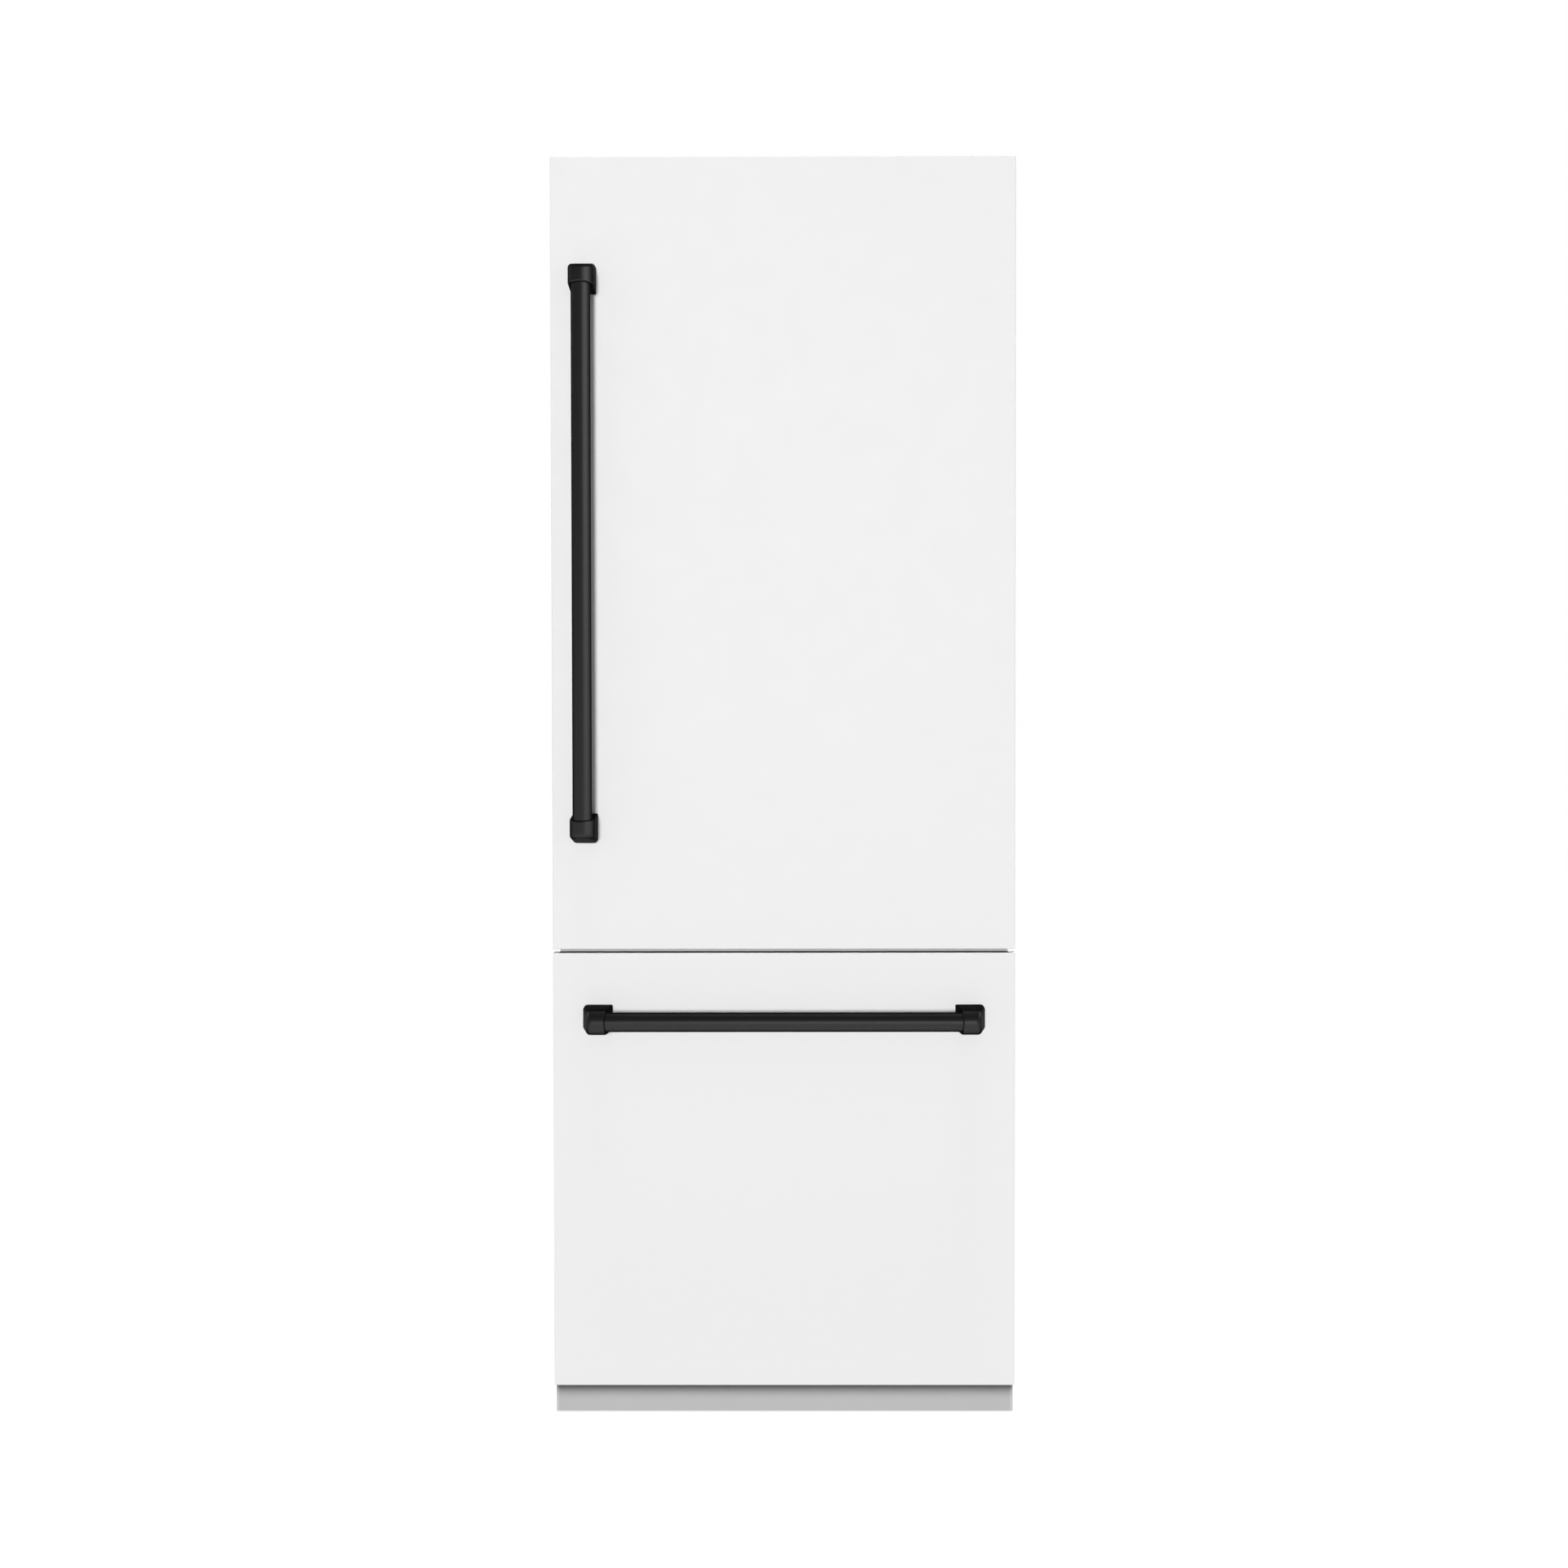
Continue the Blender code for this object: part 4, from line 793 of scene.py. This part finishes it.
def shelf_section(front, under, over):
    """A shelf's front trim in (y, z): it wraps the glass's edge and hangs a little below."""
    top, foot = over + 0.0022, under - 0.0085
    return [(front + 0.018, over + 0.0002), (front + 0.018, top - 0.0008),
            (front + 0.0172, top), (front + 0.003, top + 0.0008), (front + 0.0008, top - 0.0004),
            (front, top - 0.003), (front, foot + 0.002), (front + 0.0008, foot + 0.0004),
            (front + 0.003, foot), (front + 0.0042, foot + 0.001),
            (front + 0.0045, under - 0.0005), (front + 0.005, under - 0.0003),
            (front + 0.005, over + 0.0002)]


def shelves():
    inset = 0.001
    for name in SHELVES:
        low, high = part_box(name)
        ends = low.x + inset, high.x - inset
        bm = bmesh.new()
        prism(bm, shelf_section(low.y - 0.0052, low.z, high.z), *ends)
        prism(bm, [p[:2] for p in rect("xy", (high.y - 0.01, high.z + 0.0002),
                                       (high.y + 0.0004, high.z + 0.012), 0.0025, 0, 4)], *ends)
        for sign in SIDES.values():
            outer = sign * (high.x - inset)
            slab(bm, "yz", (low.y + 0.01, high.z + 0.0002), (high.y - 0.008, high.z + 0.0042),
                 outer, outer - sign * 0.009, 0.0015, 0.0008)
        piece(f"{name}_trim", bm, "liner_white")


def ledges():
    """Rounded rails on both walls that the glass rests on."""
    reach = inner_box("fridge_liner")[1].x + 0.0005
    bm = bmesh.new()
    for name in SHELVES:
        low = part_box(name)[0]
        for sign in SIDES.values():
            slab(bm, "yz", (LEDGE_FRONT, low.z - 0.0083), (LEDGE_BACK, low.z - 0.0003),
                 sign * reach, sign * (reach - 0.007), 0.0035, 0.0018)
    piece("shelf_ledges", bm, "liner_white")


def crispers():
    for side in SIDES:
        low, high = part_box(f"crisper_{side}")
        front = low.y + 0.012
        bm = bmesh.new()
        tub(bm, (low.x, front, low.z), (high.x, high.y, high.z), 0.0028, 0.018, 0.006, 0.003,
            0.006)
        pull = [(front + 0.006, high.z - 0.075), (low.y + 0.003, high.z - 0.0745),
                (low.y + 0.0006, high.z - 0.072), (low.y + 0.0006, high.z - 0.064),
                (low.y + 0.0022, high.z - 0.0605), (low.y + 0.004, high.z - 0.0612),
                (low.y + 0.0046, high.z - 0.068), (front + 0.006, high.z - 0.07)]
        prism(bm, pull, low.x + 0.05, high.x - 0.05)
        piece(f"crisper_{side}_fine", bm, "clear_plastic", replaces=[f"crisper_{side}"])
        middle = (low.x + high.x) / 2
        bm = bmesh.new()
        slab(bm, "xz", (low.x + 0.012, high.z - 0.04), (high.x - 0.012, high.z - 0.01),
             front + 0.004, front - 0.0012, 0.008, 0.0012, 6)
        slab(bm, "xz", (middle - 0.03, high.z - 0.03), (middle + 0.03, high.z - 0.02),
             front - 0.0008, front - 0.0026, 0.005, 0.001, 6)
        piece(f"crisper_{side}_fascia", bm, "liner_white")
        bm = bmesh.new()
        slab(bm, "xz", (middle - 0.02, high.z - 0.0285), (middle - 0.008, high.z - 0.0215),
             front - 0.002, front - 0.005, 0.003, 0.0012, 6)
        piece(f"crisper_{side}_slider", bm, "duct_grey")


def air_tower():
    low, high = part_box("air_tower")
    bm = bmesh.new()
    for z in VENT_LEVELS:
        band(bm, "xz", (-0.066, z - 0.012), (0.066, z + 0.012), 0.01,
             [(0.0, low.y + 0.0004), (0.0, low.y - 0.0012), (-0.0008, low.y - 0.002),
              (-0.0036, low.y - 0.002), (-0.0046, low.y - 0.0008), (-0.0046, low.y + 0.0004)])
        for x in spread(-VENT_BAR_REACH, VENT_BAR_REACH, VENT_BARS):
            slab(bm, "yz", (low.y + 0.0004, z - 0.0064), (low.y + 0.006, z + 0.0064),
                 x - 0.0009, x + 0.0009, 0.0006, 0.0003)
    for x in (-0.0745, 0.0745):
        slab(bm, "xz", (x - 0.003, low.z + 0.03), (x + 0.003, high.z - 0.03), low.y + 0.0004,
             low.y - 0.002, 0.0029, 0.0012, 6)
    piece("air_tower_grilles", bm, "duct_grey")
    # Dark plates behind each vent's bars: painted shade for the depth of the openings.
    bm = bmesh.new()
    for z in VENT_LEVELS:
        slab(bm, "xz", (-0.0598, z - 0.0058), (0.0598, z + 0.0058), low.y + 0.0062,
             low.y + 0.0071, 0.0008, 0.0002)
    piece("air_tower_vent_backs", bm, "dark_plastic")


def ceiling_fittings():
    """The lamp's bezel, and a control panel with five blank buttons in front of it."""
    low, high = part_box("ceiling_light")
    bm = bmesh.new()
    band(bm, "xy", (low.x - 0.006, low.y - 0.006), (high.x + 0.006, high.y + 0.006), 0.016,
         [(0.0, high.z), (0.0, high.z - 0.003), (-0.0015, high.z - 0.005),
          (-0.005, high.z - 0.0052), (-0.0058, high.z - 0.004), (-0.0058, high.z)])
    piece("lamp_bezel", bm, "liner_white")
    bm = bmesh.new()
    slab(bm, "xy", (-0.11, -0.17), (0.11, -0.11), high.z, high.z - 0.01, 0.01, 0.003, 6)
    piece("control_panel", bm, "duct_grey")
    bm = bmesh.new()
    for x in spread(-BUTTON_REACH, BUTTON_REACH, BUTTONS):
        turned(bm, "xy", (x, -0.14), [(0.0075, high.z - 0.0098), (0.0075, high.z - 0.0106),
                                       (0.0064, high.z - 0.0114), (0.0001, high.z - 0.0112)], 24)
    piece("control_buttons", bm, "dark_plastic")


def fridge_space():
    low, high = inner_box("fridge_liner")
    lining("fridge_lining", [(low.y, high.z), (high.y, high.z), (high.y, low.z), (low.y, low.z)],
           high.x, ["fridge_liner"])
    ledges()
    shelves()
    crispers()
    air_tower()
    ceiling_fittings()


# ---------------- door inside

DYKE_LOW, DYKE_HIGH, DYKE_WIDTH = (-0.306, 0.812), (0.306, 1.968), 0.012
DOOR_FIELDS, DOOR_FIELD_HALF = ((1.03, 1.15), (1.34, 1.5), (1.68, 1.92)), 0.25
SHEET = 0.003
LUG_X = 0.2922

# A magnetic seal's section, as (outward, height) pairs: folds, a flat magnet and folds again.
BELLOWS = [(0.0, 0.0), (0.0, 0.0016), (-0.001, 0.0022), (-0.0022, 0.0028), (-0.001, 0.0036),
           (-0.0002, 0.0044), (-0.001, 0.0052), (-0.0022, 0.0058), (-0.0012, 0.0066),
           (-0.0004, 0.0072), (-0.0008, 0.0081), (-0.0138, 0.0081), (-0.0144, 0.0072),
           (-0.0132, 0.0062), (-0.0124, 0.005), (-0.0138, 0.004), (-0.0144, 0.003),
           (-0.013, 0.002), (-0.015, 0.0014), (-0.015, 0.0)]


def gasket(name, body):
    low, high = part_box(name)
    bm = bmesh.new()
    band(bm, "xz", (low.x, low.z), (high.x, high.z), 0.01,
         [(out, low.y + h) for out, h in BELLOWS])
    piece(f"{name}_bellows", bm, "gasket_grey", body, [name])


def dyke_section(back, front, wide):
    """A raised ring on the door's lining: (outward, y), with a foot fillet and a round crest."""
    return [(0.006, back), (0.0024, back + 0.0012), (0.0006, back + 0.0045),
            (-0.0006, front - 0.006), (-0.0016, front - 0.0022), (-0.0038, front - 0.0003),
            (-0.006, front), (0.0038 - wide, front - 0.0003), (0.0016 - wide, front - 0.0022),
            (0.0006 - wide, front - 0.006), (-0.0006 - wide, back + 0.0045),
            (-0.0016 - wide, back + 0.0012), (-0.0024 - wide, back)]


def door_inside():
    low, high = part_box("door_liner")
    sheet = low.y + SHEET
    bm = bmesh.new()
    slab(bm, "xz", (low.x, low.z), (high.x, high.z), low.y, sheet, 0.012, 0.0009, 6)
    band(bm, "xz", DYKE_LOW, DYKE_HIGH, 0.028,
         dyke_section(sheet - 0.0004, high.y, DYKE_WIDTH), 8)
    for z0, z1 in DOOR_FIELDS:
        slab(bm, "xz", (-DOOR_FIELD_HALF, z0), (DOOR_FIELD_HALF, z1), sheet - 0.0004,
             sheet + 0.0022, 0.02, 0.0016, 8)
    piece("door_inner_sheet", bm, "liner_white", "fridge_door", ["door_liner"])
    gasket("door_gasket", "fridge_door")

    for name in ("door_bin_bottom", "door_bin_middle", "door_bin_top"):
        low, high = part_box(name)
        bm = bmesh.new()
        tub(bm, low, high, 0.003, 0.02, 0.005, 0.0025, 0.007)
        piece(f"{name}_fine", bm, "clear_plastic", "fridge_door", [name])
        bm = bmesh.new()
        slab(bm, "xz", (low.x + 0.02, high.z - 0.028), (high.x - 0.02, high.z - 0.008),
             high.y - 0.003, high.y - 0.0004, 0.005, 0.0008)
        piece(f"{name}_trim", bm, "liner_white", "fridge_door")
        bm = bmesh.new()
        for x in (-LUG_X, LUG_X):
            slab(bm, "xz", (x - 0.0024, low.z + 0.018), (x + 0.0024, low.z + 0.06),
                 low.y + 0.002, low.y + 0.03, 0.002, 0.001)
        piece(f"{name}_lugs", bm, "liner_white", "fridge_door")


# ---------------- freezer and drawer

STEP_Y, STEP_Z = 0.1427, 0.3823      # the lining's step over the machine compartment
FREEZER_ROUND = [0.02, 0.02, 0.0035, 0.02]
GUARD_RINGS, GUARD_SPOKES = (0.0635, 0.0475, 0.033, 0.019), 8
WIRE_RADIUS = 0.0012
GRILLE_BARS = 9
DUCT_RIBS, DUCT_RIB_HALF = ((0.478, 0.522), (0.674, 0.694)), 0.29
DUCT_SCREWS_X, DUCT_SCREWS_Z = (-0.3, 0.3), (0.4, 0.545, 0.69)
WELL_LOW, WELL_HIGH = (-0.296, 0.135), (0.296, 0.69)
BASKET_LOW, BASKET_HIGH = (-0.285, -0.185), (0.285, 0.128)
BASKET_BANDS = (0.2, 0.27, 0.34)


def freezer_space():
    low, high = inner_box("freezer_liner")
    lining("freezer_lining", [(low.y, high.z), (high.y, high.z), (high.y, STEP_Z),
                              (STEP_Y, STEP_Z), (STEP_Y, low.z), (low.y, low.z)],
           high.x, ["freezer_liner"], FREEZER_ROUND, 0.014)
    cover_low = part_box("evaporator_cover")[0]
    fan_low, fan_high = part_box("evaporator_fan")
    hub = ((fan_low.x + fan_high.x) / 2, (fan_low.z + fan_high.z) / 2)
    bm = bmesh.new()
    y0, y1 = cover_low.y - 0.002, cover_low.y + 0.0004
    for radius in GUARD_RINGS:
        outer, inner = radius + WIRE_RADIUS, radius - WIRE_RADIUS
        skin(bm, [circle("xz", hub, outer, y1, 64), circle("xz", hub, outer, y0, 64),
                  circle("xz", hub, inner, y0, 64), circle("xz", hub, inner, y1, 64)], True)
    for i in range(GUARD_SPOKES):
        a = 2 * math.pi * (i + 0.5) / GUARD_SPOKES
        ends = [(hub[0] + r * math.cos(a), y0 + WIRE_RADIUS, hub[1] + r * math.sin(a))
                for r in (0.01, 0.064)]
        pipe(bm, ends, WIRE_RADIUS, 8)
    turned(bm, "xz", hub, [(0.0125, y1), (0.0125, y0 + 0.0008), (0.011, y0), (0.0001, y0)], 32)
    for x in spread(-0.2, 0.2, GRILLE_BARS):
        slab(bm, "yz", (cover_low.y - 0.001, 0.428), (cover_low.y + 0.004, 0.45), x - 0.0012,
             x + 0.0012, 0.0008, 0.0003)
    piece("freezer_fan_guard", bm, "duct_grey")
    bm = bmesh.new()
    for z0, z1 in DUCT_RIBS:
        slab(bm, "xz", (-DUCT_RIB_HALF, z0), (DUCT_RIB_HALF, z1), cover_low.y + SUNK,
             cover_low.y - 0.0014, 0.01, 0.001, 6)
    piece("evaporator_cover_ribs", bm, "duct_grey")
    bm = bmesh.new()
    for x in DUCT_SCREWS_X:
        for z in DUCT_SCREWS_Z:
            cap_screw(bm, "xz", (x, z), cover_low.y, -1, 0.0048, 0.002)
    piece("evaporator_cover_screws", bm, "zinc_steel")


def drawer_inside():
    low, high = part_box("drawer_liner")
    sheet = low.y + SHEET
    bm = bmesh.new()
    slab(bm, "xz", (low.x, low.z), (high.x, high.z), low.y, sheet, 0.012, 0.0009, 6)
    slab(bm, "xz", WELL_LOW, WELL_HIGH, sheet - 0.0004, high.y, 0.03, 0.0034, 10)
    piece("drawer_inner_sheet", bm, "liner_white", "freezer_drawer", ["drawer_liner"])
    gasket("drawer_gasket", "freezer_drawer")

    low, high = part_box("freezer_basket")
    bm = bmesh.new()
    tub(bm, (*BASKET_LOW, low.z), (*BASKET_HIGH, high.z - 0.001), 0.003, 0.022, 0.006, 0.0005,
        0.004)
    rim = [(0.0, high.z - 0.0056), (0.0, high.z - 0.0008), (-0.001, high.z), (-0.014, high.z),
           (-0.015, high.z - 0.001), (-0.015, high.z - 0.0056)]
    band(bm, "xy", (low.x, low.y), (high.x, high.y), 0.016, rim, 8)
    piece("freezer_basket_fine", bm, "clear_plastic", "freezer_drawer", ["freezer_basket"])
    bm = bmesh.new()
    for z in BASKET_BANDS:
        band(bm, "xy", BASKET_LOW, BASKET_HIGH, 0.022,
             [(-0.001, z - 0.004), (0.0006, z - 0.002), (0.0006, z + 0.002), (-0.001, z + 0.004),
              (-0.003, z + 0.003), (-0.003, z - 0.003)])
    piece("freezer_basket_bands", bm, "clear_plastic", "freezer_drawer")

    low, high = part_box("freezer_tray")
    bm = bmesh.new()
    tub(bm, low, high, 0.003, 0.02, 0.004, 0.0025, 0.007)
    piece("freezer_tray_fine", bm, "clear_plastic", "freezer_tray", ["freezer_tray"])


# ---------------- fans and machinery

def fan_blade(bm, place, root, tip, blade_turn):
    """One twisted, swept blade; local +Z is the shaft."""
    outline = [(t, 1) for t in spread(-0.5, 0.5, 7)]
    outline += [(t, -1) for t in spread(0.5, -0.5, 7)[1:-1]]
    loops = []
    for share in spread(0.0, 1.0, 9):
        radius = root + (tip - root) * share
        pitch = math.radians(44 - 20 * share)
        chord = 0.62 * root + (0.52 * tip - 0.62 * root) * math.sin(share * 1.9)
        sweep = blade_turn + math.radians(16) * share ** 1.5
        thick = 0.0016 - 0.0007 * share
        loop = []
        for along, side in outline:
            fullness = 1 - 4 * along * along
            lift = 0.1 * chord * fullness + side * thick * fullness ** 0.5 * 0.5
            run = along * chord * math.cos(pitch) - lift * math.sin(pitch)
            rise = along * chord * math.sin(pitch) + lift * math.cos(pitch)
            angle = sweep + run / radius
            loop.append(place @ Vector((radius * math.cos(angle), radius * math.sin(angle),
                                        rise * 0.62)))
        loops.append(loop)
    skin(bm, loops)


def fan(name, axis, blades):
    """A hub and its blades, on the fan's own body, which has the same name."""
    low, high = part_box(name)
    centre = (low + high) / 2
    size = high - low
    tip = max(size) / 2 - 0.0004
    thick = min(size)
    turn = Matrix.Rotation(math.radians(90), 4, "X" if axis == "y" else "Y")
    place = Matrix.Translation(centre) @ turn
    bm = bmesh.new()
    for i in range(blades):
        fan_blade(bm, place, tip * 0.28, tip, 2 * math.pi * i / blades)
    profile = [(0.0001, -thick * 0.46), (tip * 0.24, -thick * 0.46), (tip * 0.29, -thick * 0.36),
               (tip * 0.3, thick * 0.2), (tip * 0.27, thick * 0.38), (tip * 0.18, thick * 0.46),
               (0.0001, thick * 0.48)]
    skin(bm, [[place @ Vector(p) for p in circle("xy", (0, 0), r, h, 36)] for r, h in profile])
    piece(f"{name}_blades", bm, "dark_plastic", name, [name])


# ---------------- hinges and compressor

HINGE_AXIS = (0.352, -0.236)
TOP_HINGE_SCREWS_Y = -0.183
BRACKET_FACE = -0.2047
# The compressor's outline: the share of its radius, and the height above its feet.
COMPRESSOR_SHELL = [(0.62, 0.006), (0.8, 0.012), (0.91, 0.026), (0.945, 0.048), (0.945, 0.09),
                    (0.985, 0.091), (0.985, 0.097), (0.94, 0.098), (0.93, 0.122), (0.88, 0.142),
                    (0.76, 0.158), (0.55, 0.167)]


def hinge_details():
    low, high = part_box("top_hinge_bracket")
    bm = bmesh.new()
    turned(bm, "xy", HINGE_AXIS, [(0.0078, high.z - SUNK), (0.0078, high.z + 0.0016),
                                  (0.0066, high.z + 0.0026), (0.0001, high.z + 0.0028)], 32)
    piece("top_hinge_pin_head", bm, "zinc_steel")
    bm = bmesh.new()
    for x in (low.x + 0.012, low.x + 0.034):
        cap_screw(bm, "xy", (x, TOP_HINGE_SCREWS_Y), high.z - 0.0003, 1, 0.0048, 0.0026)
    piece("top_hinge_screws", bm, "zinc_steel")
    low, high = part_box("middle_hinge_bracket")
    bm = bmesh.new()
    for x in (low.x + 0.012, low.x + 0.03):
        for z in (low.z + 0.008, high.z - 0.008):
            cap_screw(bm, "xz", (x, z), BRACKET_FACE, -1, 0.0042, 0.002)
    piece("middle_hinge_screws", bm, "zinc_steel")


def compressor():
    low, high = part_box("compressor")
    x, y = (low.x + high.x) / 2, (low.y + high.y) / 2
    big = (high.x - low.x) / 2
    bm = bmesh.new()
    shell = [(big * share, low.z + rise) for share, rise in COMPRESSOR_SHELL]
    turned(bm, "xy", (x, y), [(0.0001, low.z + 0.006), *shell, (big * 0.28, high.z - 0.001),
                              (0.0001, high.z)], 64)
    for i in range(4):
        a = math.pi / 4 + math.pi / 2 * i
        spot = (x + 0.058 * math.cos(a), y + 0.058 * math.sin(a))
        turned(bm, "xy", spot, [(0.007, low.z), (0.008, low.z + 0.0012),
                                (0.008, low.z + 0.01), (0.0055, low.z + 0.014)], 24)
    piece("compressor_fine", bm, "compressor_black", replaces=["compressor"])
    bm = bmesh.new()
    slab(bm, "yz", (y - 0.022, low.z + 0.05), (y + 0.022, low.z + 0.1), low.x + 0.006,
         low.x - 0.018, 0.006, 0.003, 6)
    piece("compressor_terminal_cover", bm, "dark_plastic")
    bm = bmesh.new()
    port = low.z + 0.06
    pipe(bm, [(x + 0.03, y + 0.052, port), (x + 0.03, y + 0.068, port),
              (x + 0.03, y + 0.068, port + 0.14), (x - 0.11, y + 0.068, port + 0.14),
              (x - 0.11, y + 0.068, port + 0.19)], 0.0032, 14, 0.02)
    pipe(bm, [(x + 0.052, y - 0.03, port), (x + 0.068, y - 0.03, port),
              (x + 0.068, y - 0.03, port + 0.15), (x + 0.068, y + 0.02, port + 0.19)],
         0.004, 14, 0.02)
    piece("compressor_tubes", bm, "copper")


# ---------------- putting it together

dress_cad_nodes()
handles()
gap_strip()
kick_details()
side_details()
back_details()
top_details()
foot_details()
fridge_space()
door_inside()
freezer_space()
drawer_inside()
fan("evaporator_fan", "y", 7)
fan("condenser_fan", "x", 5)
hinge_details()
compressor()

add_floor()
add_world(WORLD_STRENGTH)
light_studio()
add_camera()
SCENE.view_settings.view_transform = "Standard"
